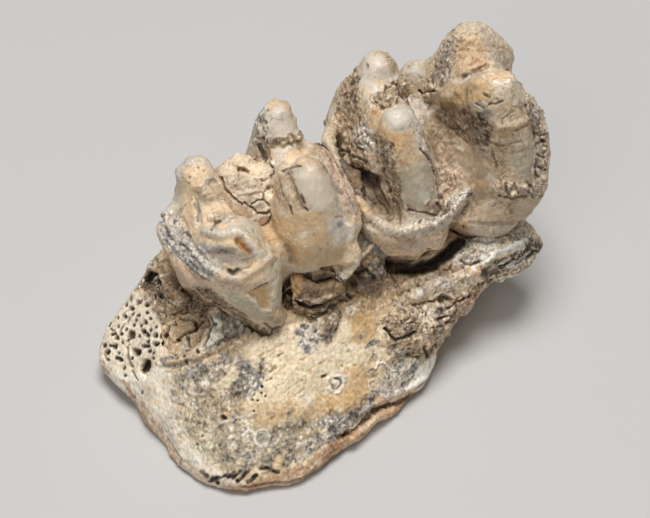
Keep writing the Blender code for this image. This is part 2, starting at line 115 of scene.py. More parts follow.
class FossilColours(bpy.types.PropertyGroup):
    ivory: colour("Ivory", "Clean enamel on the sides of the cusps", 218, 204, 184)
    pearl: colour("Pearl", "Enamel where it is thickest and whitest", 226, 216, 202)
    cream: colour("Cream", "Enamel near the worn tips", 238, 210, 172)
    amber: colour("Amber", "Stained dentine in a dent", 190, 128, 66)
    dentine: colour("Dentine", "Bare dentine below the crown", 212, 176, 126)
    honey: colour("Honey", "Enamel low on the crown", 212, 182, 142)
    dull: colour("Dull", "Enamel under a thin grey-green film", 186, 178, 154)
    slate: colour("Slate", "Blue-grey stain", 138, 137, 136)
    soot: colour("Soot", "Black specks and deep stains", 52, 48, 43)
    # Pit is also the colour of the painted shadows under overhangs, in gaps, grooves and clefts.
    pit: colour("Pit", "The bottom of a hole", 30, 22, 16)
    umber: colour("Umber", "Brown cracks and shadows", 88, 70, 54)
    bone: colour("Bone", "Clean bone", 252, 232, 200)
    peach: colour("Peach", "Warm dentine that shows at a worn tip", 246, 216, 180)
    rose: colour("Rose", "Pinkish brown film", 200, 174, 152)
    chalk: colour("Chalk", "Fresh broken bone", 255, 248, 234)
    sand: colour("Sand", "Weathered bone", 206, 184, 152)
    ochre: colour("Ochre", "Warm stain in the bone", 214, 174, 120)
    rust: colour("Rust", "Reddish layers of the underside", 180, 130, 92)
    olive: colour("Olive", "Grey-green mottling", 142, 138, 122)
    ash: colour("Ash", "Grey-white film", 218, 211, 202)
    clay: colour("Clay", "Hardened sediment", 186, 162, 132)
    mud: colour("Mud", "Dark sediment", 144, 122, 96)
    dust: colour("Dust", "Pale sediment", 224, 206, 182)


class StageSettings(bpy.types.PropertyGroup):
    azimuth: FloatProperty(name="Azimuth", description="Direction of the camera round the object",
                           subtype="ANGLE", default=math.radians(-28.0))
    elevation: FloatProperty(name="Elevation", description="Height of the camera above the horizon",
                             subtype="ANGLE", default=math.radians(45.0))
    distance: FloatProperty(name="Distance", description="From the camera to what it looks at",
                            subtype="DISTANCE", default=0.315)
    target: FloatVectorProperty(name="Target", description="The point that the camera looks at",
                                subtype="TRANSLATION", size=3, default=(0.00013, 0.00336, 0.012))
    lens_mm: FloatProperty(name="Lens", description="Focal length in millimetres", default=150.0)
    floor_colour: FloatVectorProperty(name="Floor", description="Colour of the plain floor",
                                      subtype="COLOR", size=3, default=(0.62, 0.615, 0.61))
    key_power: FloatProperty(name="Key light", description="Power of the large light overhead",
                             unit="POWER", default=3.3)
    fill_power: FloatProperty(name="Fill light", description="Power of the light beside the camera",
                              unit="POWER", default=0.75)
    sky_strength: FloatProperty(name="Sky", description="Strength of light from all round", default=0.17)


class SkinSettings(bpy.types.PropertyGroup):
    bone_voxel: FloatProperty(name="Bone grid", description="Grid of the bone's hidden sides",
                              subtype="DISTANCE", default=0.00046)
    front_voxel: FloatProperty(name="Front molar grid", description="Grid of its hidden sides",
                               subtype="DISTANCE", default=0.00034)
    rear_voxel: FloatProperty(name="Rear molar grid", description="Grid of its hidden sides",
                              subtype="DISTANCE", default=0.0004)
    lump_voxel: FloatProperty(name="Sediment grid", description="Grid of the sediment lumps",
                              subtype="DISTANCE", default=0.0002)
    enamel_roughness: FloatProperty(name="Enamel roughness", description="Roughness of clean enamel",
                                    default=0.3, min=0.0, max=1.0)
    bone_roughness: FloatProperty(name="Bone roughness", description="Roughness of dry bone", default=0.78,
                                  min=0.0, max=1.0)
    grain_depth: FloatProperty(name="Grain", description="Depth of the finest grain in the surface",
                               subtype="DISTANCE", default=0.00006)


def settings():
    """The stage's, the skins' and the colours' settings."""
    return bpy.context.scene.fossil_stage, bpy.context.scene.fossil_skin, bpy.context.scene.fossil_colours


# Noise

def scatter(cells, seed):
    """Three random numbers from -1 to 1 for each whole-number cell."""
    c = cells.astype(np.uint32)
    x, y, z = (c[:, k] * np.uint32(CELL_KEYS[k]) for k in range(3))
    key = (x ^ y ^ z) + np.uint32(seed * 7919 % 65521)
    rows = []
    for turn in TURNS:
        h = key + np.uint32(turn)
        h = (h ^ (h >> np.uint32(16))) * np.uint32(0x7FEB352D)
        h = (h ^ (h >> np.uint32(15))) * np.uint32(0x846CA68B)
        h = h ^ (h >> np.uint32(16))
        rows.append(h.astype(float) / 2147483647.5 - 1.0)
    return np.stack(rows, axis=1)


def waves(points, seed):
    """Smooth noise from about -1 to 1, whose hills are 1 apart."""
    cell = np.floor(points).astype(np.int64)
    part = points - cell
    ease = part * part * part * (part * (part * 6.0 - 15.0) + 10.0)
    total = np.zeros(len(points))
    for corner in itertools.product((0, 1), repeat=3):
        slope = ((part - corner) * scatter(cell + np.array(corner), seed)).sum(axis=1)
        share = np.where(np.array(corner) == 1, ease, 1.0 - ease).prod(axis=1)
        total += share * slope
    return total * 1.5


def fractal(points, size, octaves, seed):
    """Noise of several sizes, the largest of which is size millimetres."""
    total = np.zeros(len(points))
    for n in range(octaves):
        total += waves(points * (2.0**n / size) + 17.3 * n, seed + n) / 2.0**n
    return total


def around(points, size, seed):
    """For each cell round each point, its random numbers and the way from its scattered middle."""
    at = points / size
    base = np.floor(at).astype(np.int64)
    for step in itertools.product((-1, 0, 1), repeat=3):
        cell = base + np.array(step)
        spread = scatter(cell, seed)
        yield spread, at - cell - 0.5 - 0.45 * spread


def cells(points, size, seed):
    """The distances to the nearest and next of scattered middles, over size, and the nearest's numbers."""
    first = np.full(len(points), FAR)
    second = np.full(len(points), FAR)
    numbers = np.zeros((len(points), 3))
    for spread, way in around(points, size, seed):
        gap = np.linalg.norm(way, axis=1)
        nearer = gap < first
        second = np.where(nearer, first, np.minimum(second, gap))
        numbers[nearer] = spread[nearer]
        first = np.where(nearer, gap, first)
    return first, second, numbers


def facets(points, size, seed):
    """Faces tilted at random, the highest of which shows at each place: its height and its numbers."""
    best = np.full(len(points), -FAR)
    numbers = np.zeros((len(points), 3))
    for spread, way in around(points, size, seed):
        slope = (way * spread[:, (1, 2, 0)]).sum(axis=1)
        value = 0.45 * spread[:, 0] + 1.3 * slope - 0.9 * (way * way).sum(axis=1)
        higher = value > best
        best[higher] = value[higher]
        numbers[higher] = spread[higher]
    return best - 0.3, numbers


# The camera's picture and the skins

class Picture:
    """Where the camera sees a point, in pixels, and how plainly."""

    def __init__(self, stage):
        a, e = stage.azimuth, stage.elevation
        self.back = np.array((math.sin(a) * math.cos(e), -math.cos(a) * math.cos(e), math.sin(e)))
        self.right = np.array((math.cos(a), math.sin(a), 0.0))
        self.up = np.cross(self.back, self.right)
        self.eye = (np.array(stage.target) + self.back * stage.distance) / MM
        self.focal = stage.lens_mm / SENSOR_MM * PICTURE[0]

    def pixels(self, points):
        away = points - self.eye
        depth = -(away @ self.back)
        x = PICTURE[0] / 2 + self.focal * (away @ self.right) / depth
        y = PICTURE[1] / 2 - self.focal * (away @ self.up) / depth
        return x, y

    def ways(self, points):
        """The directions from the points to the camera."""
        ways = self.eye - points
        return ways / np.linalg.norm(ways, axis=1)[:, None]

    def clear(self, points, solids):
        """1 for each point with nothing between it and the camera, else 0."""
        ways = self.ways(points)
        starts = points + ways * SIGHT_GAP
        hits = (solids.ray_cast(Vector(start), Vector(way))[0] for start, way in zip(starts, ways))
        return np.array([hit is None for hit in hits], float)

    def facing(self, points, normals):
        """The cosine between each normal and the way to the camera."""
        return (self.ways(points) * normals).sum(axis=1)


def solid_tree(names):
    """A search tree over some of the solids, in millimetres."""
    points, faces = [], []
    for name in names:
        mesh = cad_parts[name].data
        start = len(points)
        points += [v.co / MM for v in mesh.vertices]
        faces += [[start + k for k in p.vertices] for p in mesh.polygons]
    return BVHTree.FromPolygons(points, faces)


NODES = ("jaw_bone", "front_molar", "rear_molar", "valley_matrix", "interdental_matrix", "root_gap_matrix",
    "socket_matrix")

# One thing to shape or paint on a skin. Its size is in pixels: an oval's two radii and its turn in degrees,
# a line's half-width, a patch's soft edge, or a ring's radius and half-width. Its height is in millimetres.
# Its amount is the strength of its paint and its rag how frayed it is. Gloss and crust are what it leaves.
Mark = namedtuple("Mark", "name kind places size height colour amount rag gloss crust")


def pairs(row):
    """A row of x and y in turn, as places."""
    return tuple(zip(row[::2], row[1::2]))


def group(kind, name, row, size, height=0, colour=None, amount=1, rag=0, gloss=None, crust=None):
    """The mark at one place or row of places, or the same mark at each of several."""
    if kind in ("oval", "ring"):
        shapes = pairs(row)
    else:
        shapes = [pairs(part) for part in (row if isinstance(row[0], tuple) else (row,))]
    return [Mark(name, kind, shape, size, height, colour, amount, rag, gloss, crust) for shape in shapes]


oval, line, patch, ring = (partial(group, kind) for kind in ("oval", "line", "patch", "ring"))

# The front molar
# Pulls move whole parts across the picture: a place, a radius and a way. Forms are shaped before any paint.
FRONT_PULLS = (((362, 240), 18, (-7, -1)), ((171, 192), 26, (6, 0)), ((152, 216), 20, (8, 2)), ((262, 132),
    16, (-2, 0)))

FRONT_FORMS = (
    patch("hollow face of the front cusp", (183, 166, 196, 162, 209, 168, 211, 180, 200, 188, 195, 204,
        191, 228, 182, 234, 178, 214, 179, 188), 4, -0.4),
    oval("mound behind it", (210, 194), (15, 11), 0.55),
    line("groove beside the mound", (194, 200, 198, 212, 198, 224), 5, -0.45),
    oval("block above the nose", (220, 217), (14, 8), 0.3),
    line("nose ridge", (207, 232, 221, 236, 237, 232, 252, 242, 258, 252), 7, 0.6),
    line("amber dent", (238, 241, 248, 252), 6, -0.7),
    oval("hollow under the nose", (225, 255), (27, 9, 4), -0.6),
    line("fold below the hollow", (203, 264, 222, 276, 240, 279, 255, 269, 270, 258), 6, 0.4),
    oval("lobe beside the dent", (264, 256), (11, 8, -15), 0.4),
    line("front ridge", (158, 219, 165, 237, 182, 256, 205, 278), 7, 0.35),
    line("fold beside the front ridge", (178, 218, 188, 240, 204, 262), 5, -0.35),
    oval("root bump", (275, 318), (12, 13), 0.8),
    line("strip beside the window", (277, 258, 277, 282, 274, 304), 5, 0.3),
    line("groove left of the rear cusp", (285, 172, 291, 190, 301, 208), 7, -0.5),
    oval("belly of the rear cusp", (314, 190), (18, 28, -30), 0.1),
    oval("shoulder of the rear cusp", (296, 170), (13, 9, 0), -0.25),
    line("fold between the cusps", (264, 216, 270, 236, 288, 250, 291, 264), 9, -0.6),
    line("groove along the rear ridge", (322, 146, 333, 172, 342, 196, 348, 222), 5, -0.45),
    line("rear ridge", (318, 130, 336, 150, 349, 180, 354, 212, 351, 240), 5, 0.3),
    line("cleft left of the far cusp", (262, 142, 265, 156, 268, 172), 7, -0.8),
    oval("flat face of the far cusp", (284, 122), (17, 20), -0.25),
    oval("ledge of the front ridge", (162, 215), (9, 6), 0.45),
    patch("root buried in the matrix", (180, 291, 206, 287, 226, 301, 243, 313, 254, 325, 276, 333,
        262, 348, 232, 338, 204, 324, 186, 310), 3, -0.5),
    patch("foot of the rear ridge", (322, 271, 354, 266, 358, 292, 322, 292), 2.5, -1.3),
)

FRONT_MARKS = (
    line("pale rim of the front cusp", (194, 157, 180, 166, 175, 186, 171, 206, 160, 214), 6, 0, "ash", 0.7,
        0.4),
    patch("cream face", (184, 168, 197, 163, 210, 169, 210, 180, 198, 189, 194, 206, 197, 226, 190, 234,
        180, 230, 183, 210, 181, 190), 3, 0, "cream", 0.9, 0.25, 0.6),
    oval("peach in the face", (192, 176), (11, 13), 0, "peach", 0.6, 0.6),
    oval("brown speck", (198, 167, 190, 177, 189, 183, 183, 178, 185, 205, 192, 199, 204, 171, 210, 201),
        2.2, -0.06, "umber", 0.6, 0.3),
    line("small arch", (205, 187, 207, 181, 212, 178, 216, 181, 217, 186), 2.6, 0.25, "slate", 0.85, 0.3),
    oval("hollow of the arch", (211, 184), (4, 3), -0.2, "ash", 0.8),
    oval("mound film", (210, 195), (18, 13), 0, "clay", 0.9, 0.5, 0.2, 0.7),
    line("mound's dark side", (198, 192, 206, 201, 216, 204), 9, 0, "mud", 0.7, 0.5),
    oval("blue speck", (221, 197), (4, 3.5), -0.1, "slate", 0.85, 0.4),
    line("streak by the mound", (195, 204, 199, 211, 198, 221), 3, -0.15, "slate", 0.85, 0.4),
    line("second streak", (181, 209, 176, 216, 171, 227), 3, -0.15, "slate", 0.75, 0.5),
    patch("cream shoulder", (222, 190, 236, 196, 248, 206, 240, 214, 224, 208, 218, 202), 4, 0, "ivory",
        0.8, 0.5),
    patch("peach shoulder", (203, 206, 224, 204, 232, 210, 214, 213, 212, 224, 201, 226, 199, 214), 3, 0,
        "peach", 0.75, 0.4, 0.6),
    line("crust above the nose", (211, 217, 221, 217, 233, 221), 5, 0.18, "dust", 0.8, 0.6, 0.1, 1),
    line("dark line in the crust", (211, 229, 215, 223, 221, 220), 2.4, -0.2, "umber", 0.85, 0.3),
    oval("peach below the crust", (223, 227), (9, 5, -15), 0, "peach", 0.85, 0.3, 0.7),
    # Painted highlights on the nose ridge and on the sweep behind it.
    line("white of the nose", (208, 231, 221, 234, 232, 231), 4.5, 0, "pearl", 0.8, 0.3, 0.9),
    line("white sweep behind the nose", (230, 224, 240, 231, 250, 243, 254, 250), 6, 0, "pearl", 0.75, 0.4,
        0.8),
    line("cream of the nose", (209, 240, 221, 242, 233, 241), 4.5, 0, "cream", 0.9, 0.3, 0.8),
    line("amber dent", (237, 240, 241, 244, 249, 253), 4.5, 0, "amber", gloss=0.6),
    oval("bright corner of the dent", (239, 241), (4, 4), 0, "ochre", 0.7, 0.2),
    patch("grey hollow", (199, 244, 215, 247, 236, 254, 252, 253, 254, 258, 240, 262, 222, 264, 206, 258),
        5, 0, "slate", 0.9, 0.35, 0.5, 0.35),
    line("brown in the hollow", (210, 254, 228, 260, 248, 256), 9, 0, "mud", 0.6, 0.5),
    oval("blue patch", (202, 245, 214, 249, 224, 267, 230, 263), (6, 5), 0, "slate", 0.55, 0.6),
    line("fine line in the hollow", ((216, 256, 222, 250), (226, 252, 240, 256), (238, 262, 252, 257),
        (206, 250, 214, 258)), 1.4, -0.05, "umber", 0.4, 0.6),
    line("dark pit", (229, 271, 234, 273, 238, 270), 3.2, -0.45, "soot", 0.9),
    line("tail of the pit", (238, 271, 248, 268), 2.4, -0.1, "slate", 0.7, 0.5),
    oval("white below the pit", (234, 279), (12, 5), 0, "pearl", 0.6, 0.4, 0.7),
    line("rust fleck", (249, 267, 253, 261), 2.2, 0, "rust", 0.7, 0.4),
    patch("honey flank", (240, 280, 252, 268, 270, 262, 272, 272, 262, 282, 246, 288), 5, 0, "cream", 0.75,
        0.3, 0.8),
    oval("lobe beside the dent", (264, 256), (12, 9, -15), 0, "pearl", 0.65, 0.4, 0.8),
    patch("pink band", (208, 276, 226, 283, 246, 286, 264, 281, 268, 285, 246, 293, 230, 294, 214, 286), 3,
        0, "rose", 0.8, 0.3, 0.6),
    patch("film on the ridge", (156, 216, 172, 211, 181, 222, 192, 240, 206, 256, 222, 268, 208, 283,
        190, 271, 170, 253, 160, 238), 4, 0, "ash", 0.85, 0.35, 0.1, 0.9),
    line("black fleck on the ridge", ((168, 231, 171, 238), (172, 246, 176, 252), (178, 252, 186, 261),
        (190, 262, 198, 270), (166, 226, 169, 230), (182, 244, 186, 248), (194, 257, 200, 264), (186, 232,
        190, 237)), 2.4, -0.12, "soot", 0.8, 0.5),
    line("grey of the ridge", (162, 222, 174, 244, 190, 262, 206, 274), 10, 0, "slate", 0.5, 0.7),
    line("dark edge of the ridge", (162, 232, 170, 247, 184, 263, 204, 280), 2.6, -0.18, "slate", 0.85,
        0.4),
    line("violet band", (182, 264, 192, 273, 203, 281), 3.2, 0, "rust", 0.5, 0.4),
    oval("tan ledge", (160, 216), (7, 5), 0, "clay", 0.8, 0.4, crust=0.9),
    patch("front root", (161, 248, 172, 256, 190, 272, 204, 284, 196, 286, 180, 283, 168, 274), 3, 0,
        "rose", 0.85, 0.3, 0.4),
    line("orange of the root", (163, 252, 168, 262, 175, 272), 5, 0, "dentine", 0.85, 0.3, 0.5),
    oval("spot on the root", (170, 276), (4, 3.5), -0.15, "umber", 0.85, 0.4),
    patch("green-grey enamel", (222, 292, 240, 293, 250, 300, 264, 313, 268, 320, 258, 322, 242, 312,
        230, 302), 2.5, 0, "dull", 0.9, 0.2, 0.5),
    patch("dentine window", (247, 293, 259, 289, 268, 284, 271, 290, 269, 309, 262, 310, 256, 300), 1.5,
        -0.4, "dentine", 0.95, 0, 0.2, 0.6),
    line("brown rim of the window", (252, 291, 260, 288, 268, 283), 2.2, -0.15, "umber", 0.75, 0.3),
    line("window's lower edge", (247, 295, 255, 302, 262, 311, 270, 310), 1.8, 0.1, "pearl", 0.7),
    line("pale strip", (277, 258, 278, 282, 275, 303), 4.5, 0, "dull", 0.8, 0.3, 0.4),
    patch("matrix over the root", (180, 290, 206, 287, 226, 301, 243, 313, 254, 325, 276, 333, 262, 348,
        232, 338, 204, 324, 186, 310), 3, 0, "mud", 0.95, 0.2, 0, 1),
    oval("grey in the matrix", (226, 316), (22, 12, 40), 0, "slate", 0.75, 0.7),
    oval("root bump", (275, 318), (13, 14), 0, "mud", 0.85, 0, 0.3, 0.8),
    oval("ochre on the bump", (276, 312), (8, 7), 0, "ochre", 0.4, 0.5),
    line("wrinkle under the bump", (264, 324, 272, 330, 284, 326), 2.4, -0.2, "umber", 0.8, 0.3),
    patch("film left of the rear cusp", (272, 172, 284, 166, 294, 172, 300, 192, 310, 208, 300, 216,
        286, 214, 276, 206), 4, 0, "clay", 0.75, 0.5, 0.2, 0.7),
    line("streak in the film", ((288, 172, 292, 184, 298, 194), (280, 180, 283, 196), (296, 196, 304, 208),
        (276, 192, 279, 204)), 1.8, -0.08, "umber", 0.5, 0.5),
    oval("dust beside the plug", (273, 163), (5, 6), 0.3, "chalk", 0.8, 0.4, 0, 1),
    line("pale rim of the rear cusp", (281, 155, 290, 147, 300, 145, 307, 151), 4, 0.1, "pearl", 0.8, 0.3),
    patch("worn face of the rear cusp", (284, 158, 291, 151, 298, 147, 306, 152, 305, 162, 297, 168,
        287, 165), 2, -0.15, "peach", 0.95, 0, 0.7),
    oval("brown speck of the worn face", (300, 166), (4, 2.2), -0.1, "amber", 0.8, 0.3),
    line("crack below the worn face", (282, 171, 288, 169, 294, 166, 300, 167), 2.2, -0.2, "soot", 0.85,
        0.3),
    patch("tan behind the worn face", (306, 148, 318, 150, 326, 164, 322, 176, 312, 164), 4, 0, "clay", 0.6,
        0.6),
    patch("ivory belly", (290, 170, 302, 167, 314, 165, 324, 176, 332, 196, 328, 208, 312, 205, 300, 192),
        3.5, 0, "ivory", 0.95, 0, 0.9, 0),
    # A painted highlight on the top of the ivory belly.
    oval("white top of the belly", (301, 174), (13, 7, 20), 0, "pearl", 0.8, 0, 1),
    line("dark fleck", ((301, 196, 304, 202), (288, 205, 292, 214), (305, 208, 307, 211)), 2.4, -0.12,
        "soot", 0.85, 0.3),
    patch("tan belly", (264, 216, 284, 214, 306, 214, 332, 212, 348, 240, 346, 268, 318, 268, 290, 262,
        272, 246, 262, 230), 6, 0, "honey", 0.85, 0.3, 0.7, 0.25),
    oval("ochre cloud", (280, 224, 312, 218, 300, 226, 322, 236, 300, 252, 328, 256, 270, 240),
        (14, 8, -15), 0, "ochre", 0.5, 0.6),
    oval("pink light", (302, 235), (9, 6, -20), 0, "chalk", 0.6, 0.4, 0.9),
    oval("brown spot", (314, 235, 321, 251, 290, 251, 306, 222, 328, 244), 3, -0.08, "rust", 0.5, 0.4),
    line("brown fold", (286, 246, 291, 252, 290, 262), 5, 0, "mud", 0.7, 0.3),
    oval("blue speck", (272, 226, 276, 229), (4, 3), 0, "slate", 0.7, 0.4),
    oval("glint", (276, 237, 288, 234, 296, 240, 270, 222, 283, 244, 305, 246, 318, 228, 264, 236), 1.8,
        0.1, "pearl", 0.8, 0, 1),
    patch("pale cheek", (330, 218, 346, 214, 353, 226, 349, 242, 336, 246, 329, 234), 4, 0, "ash", 0.75,
        0.3, 0.6),
    oval("grey spot on the cheek", (340, 225), (5, 5), -0.08, "slate", 0.8, 0.4),
    line("brown fleck over it", (336, 217, 343, 217), 1.8, -0.06, "rust", 0.7, 0.2),
    patch("dust on the rear ridge", (308, 132, 318, 128, 334, 146, 350, 176, 357, 204, 356, 222, 347, 214,
        338, 192, 326, 168, 316, 150), 3, 0, "rose", 0.9, 0.3, 0.1, 0.7),
    line("brown line in the ridge", ((314, 136, 326, 152, 334, 168), (336, 160, 346, 184), (320, 134,
        334, 152), (346, 190, 352, 206)), 1.7, -0.1, "umber", 0.6, 0.5),
    line("grey line in the ridge", ((326, 166, 332, 178), (333, 182, 342, 194), (350, 200, 356, 214)), 2.6,
        -0.1, "slate", 0.8, 0.6),
    patch("ivory of the far cusp", (270, 114, 280, 106, 290, 111, 298, 126, 299, 134, 284, 137, 271, 132),
        3, 0, "pearl", 0.9, 0, 0.8, 0.1),
    oval("tan tip", (272, 105), (9, 6), 0, "cream", 0.7, 0.5),
    patch("specked flank", (252, 146, 253, 120, 258, 106, 268, 102, 268, 116, 270, 134, 268, 150), 3, 0,
        "ash", 0.85, 0.4, 0.1, 1),
    oval("speck on the flank", (266, 122, 263, 129, 260, 118, 268, 110, 264, 138, 258, 134), (3, 3.5), -0.1,
        "umber", 0.75, 0.4),
    line("black cleft", (259, 147, 264, 154, 266, 166, 270, 172), 5, -0.35, "soot", 0.9, 0.5),
    line("crumbs under the ivory", (271, 140, 286, 141, 300, 135), 7, 0.3, "mud", 0.8, 0.6, 0, 1),
    oval("pale crumb", (290, 140, 283, 143, 296, 137), (4, 4), 0.35, "dust", 0.8, 0.4),
    oval("brown of the low enamel", (318, 256), (44, 14, -10), 0, "mud", 0.3, 0.4),
    line("tan of the rear ridge", (318, 138, 330, 150, 342, 164), 10, 0, "clay", 0.5, 0.5),
    oval("tan of the low front lobe", (239, 283), (26, 18), 0, "clay", 0.35, 0.4),
)

# The jaw bone
POROUS_BREAK = (140, 262, 120, 288, 105, 315, 94, 350, 92, 366, 118, 384, 136, 392, 160, 380, 160, 368,
    158, 358, 176, 352, 204, 348, 222, 336, 214, 322, 206, 340, 190, 348, 172, 342, 164, 330, 160, 312,
    148, 300, 140, 284)
JAW_PULLS = (((448, 366), 34, (-6, -10)), ((470, 336), 44, (-12, -18)), ((505, 306), 46, (-10, -20)),
    ((538, 272), 30, (-4, -8)), ((130, 400), 26, (3, -3)))

GAP_UNDER_COLLAR = (376, 254, 392, 266, 412, 270, 432, 265, 450, 252, 460, 242)

JAW_FORMS = (
    line("matrix against the front cusp", (166, 284, 190, 301, 214, 313, 240, 328), 14, 1.3),
    line("overhang of the matrix", (180, 290, 196, 289, 212, 290), 5, -0.6),
    line("groove at the shelf's edge", (162, 366, 178, 365, 198, 361, 214, 352, 229, 343), 5, -0.6),
    line("ridge above the wall", (178, 374, 205, 364, 235, 346, 270, 327, 298, 314), 8, 0.45),
    patch("lump on the wall", (313, 309, 338, 306, 339, 322, 330, 334, 318, 330), 3, 0.9),
    patch("matrix on the shelf", (384, 318, 400, 308, 436, 312, 442, 330, 430, 352, 404, 350, 388, 339), 5,
        0.8),
    patch("rough shelf end", (448, 300, 464, 296, 476, 302, 466, 322, 452, 336, 440, 326), 4, 0.5),
    line("outer edge of the facet", (450, 358, 444, 374, 432, 390, 420, 396), 8, 0.6),
    line("split along the lower edge", (340, 438, 357, 430, 372, 412, 388, 406, 410, 398, 430, 386), 4,
        -0.8),
    line("step above the split", (345, 426, 364, 410, 384, 398, 404, 390, 424, 378), 4, 0.3),
    line("block under the split", (352, 438, 374, 418, 396, 410), 5, 0.5),
    line("groove in the shelf", (408, 306, 424, 303, 440, 302), 4, -0.3),
    line("pale shelf", (414, 296, 434, 286, 456, 280, 474, 274, 492, 262), 8, 0.4),
    line("hollow under the collar", GAP_UNDER_COLLAR, 9, -1.4),
    patch("block of matrix under the crown", (470, 242, 488, 238, 498, 246, 490, 258, 474, 262, 466, 254),
        3, 0.5),
    line("cream band", (482, 262, 497, 252, 524, 241), 5, 0.5),
    line("striped band", (492, 272, 512, 260, 532, 247), 11, -0.4),
    line("lower band", (497, 279, 519, 268, 539, 254), 5, 0.35),
    oval("hollow by the socket", (150, 300), (12, 12), -0.3),
    line("shelf behind the socket", (210, 334, 222, 338, 236, 330), 7, 0.5),
    oval("dip in the wall", (232, 390), (44, 20, -20), -0.35),
    oval("swell in the wall", (310, 366), (44, 26, -25), 0.35),
    oval("low hollow in the wall", (300, 428), (50, 16, -25), -0.3),
    oval("hollow behind the facet", (398, 366), (20, 12, -30), -0.45),
    line("rim of the front edge", (150, 384, 166, 412, 184, 446, 206, 470), 12, 0.25),
)

SMALL_PORES = (138, 315, 134, 325, 139, 336, 104, 345, 121, 334, 158, 343, 119, 353, 132, 358, 153, 353,
    149, 351, 124, 368, 156, 327, 118, 326, 126, 330, 148, 341, 112, 334, 109, 324, 150, 330, 128, 340,
    141, 325, 110, 346, 116, 358, 108, 360, 122, 343, 136, 320, 146, 313, 150, 318, 162, 336, 153, 358,
    170, 351, 184, 355, 197, 351, 215, 325, 142, 392, 118, 318, 126, 305, 147, 305, 132, 314, 125, 375,
    186, 362)
LARGE_PORES = (124, 316, 131, 308, 143, 331, 146, 335, 155, 335, 165, 344, 107, 352, 120, 359, 145, 322,
    116, 338, 155, 344, 114, 347)
PORES = (
    oval("small pore", SMALL_PORES, (3, 3.6, 30), -0.2, "pit", 1, 0.1),
    oval("large pore", LARGE_PORES, (4.8, 4.2, 20), -0.5, "pit", 1, 0.1),
    oval("long pore", (139, 301), (8, 4, -35), -0.4, "umber", 0.95, 0.2),
    oval("grey pore", (130, 297), (4.2, 7), -0.4, "soot", 0.95, 0.2),
    oval("brown pore", (131, 335), (5.8, 7.2), -0.5, "umber", 1, 0.1),
    oval("flat pore", (145, 346), (8, 4.4), -0.4, "pit", 1, 0.15),
    line("crack among the pores", ((127, 348, 128, 358, 132, 367), (104, 353, 106, 361), (110, 328,
        116, 335), (120, 330, 124, 324), (128, 320, 133, 313), (112, 312, 116, 306), (100, 340, 103, 332),
        (132, 372, 138, 380)), 1.9, -0.3, "umber", 0.7, 0.3),
    line("rust at the front edge", ((98, 366, 108, 372), (117, 377, 128, 385), (129, 389, 134, 398),
        (96, 356, 98, 362), (142, 404, 150, 414), (152, 418, 162, 432)), 3.2, 0, "rust", 0.7, 0.5),
)

CRUSTY_RINGS = (
    oval("ringed spot's halo", (263, 437), (13, 14), 0.05, "ash", 0.6, 0.6),
    oval("ringed spot's middle", (262, 438), 7, -0.15, "olive", 0.8, 0.5),
    ring("ringed spot", (262, 438), (8, 2.2), 0.12, "chalk", 0.6, 0.6),
    line("first arc", (240, 418, 247, 424, 248, 430, 243, 435), 2, 0.15, "chalk", 0.75, 0.4),
    line("second arc", (210, 431, 222, 423, 236, 418, 248, 416, 256, 412), 2.2, 0.12, "ash", 0.75, 0.5),
    line("third arc", (240, 454, 249, 452, 253, 458, 249, 464), 2.2, 0.12, "ash", 0.75, 0.5),
    line("fourth arc", (194, 371, 187, 379, 185, 388, 192, 394, 204, 394), 2.4, 0.12, "ash", 0.8, 0.5),
    oval("halo", (336, 386), (13, 12), 0.1, "chalk", 0.75, 0.5),
    ring("halo's dark arcs", (336, 383), (5, 2.2), -0.2, "umber", 0.8, 0.7),
    ring("halo's white arc", (336, 384), (8.5, 2.2), 0.18, "chalk", 0.7, 0.6),
    oval("faint ring's film", (309, 402), (13, 8), 0.05, "ash", 0.5, 0.6),
    ring("faint ring", (303, 400), (6, 1.8), 0.1, "chalk", 0.5, 0.6),
    ring("small ring", (373, 385), (5, 1.7), 0.18, "ash", 0.85, 0.4),
    ring("pinhole's ring", (348, 351), (4, 1.6), 0.1, "chalk", 0.5, 0.5),
    oval("pinhole", (349, 351), 2, -0.2, "umber", 0.7),
    line("worm trail", (375, 368, 377, 363, 382, 362, 387, 366, 391, 371, 396, 371), 1.8, 0.2, "chalk",
        0.85, 0.3),
)

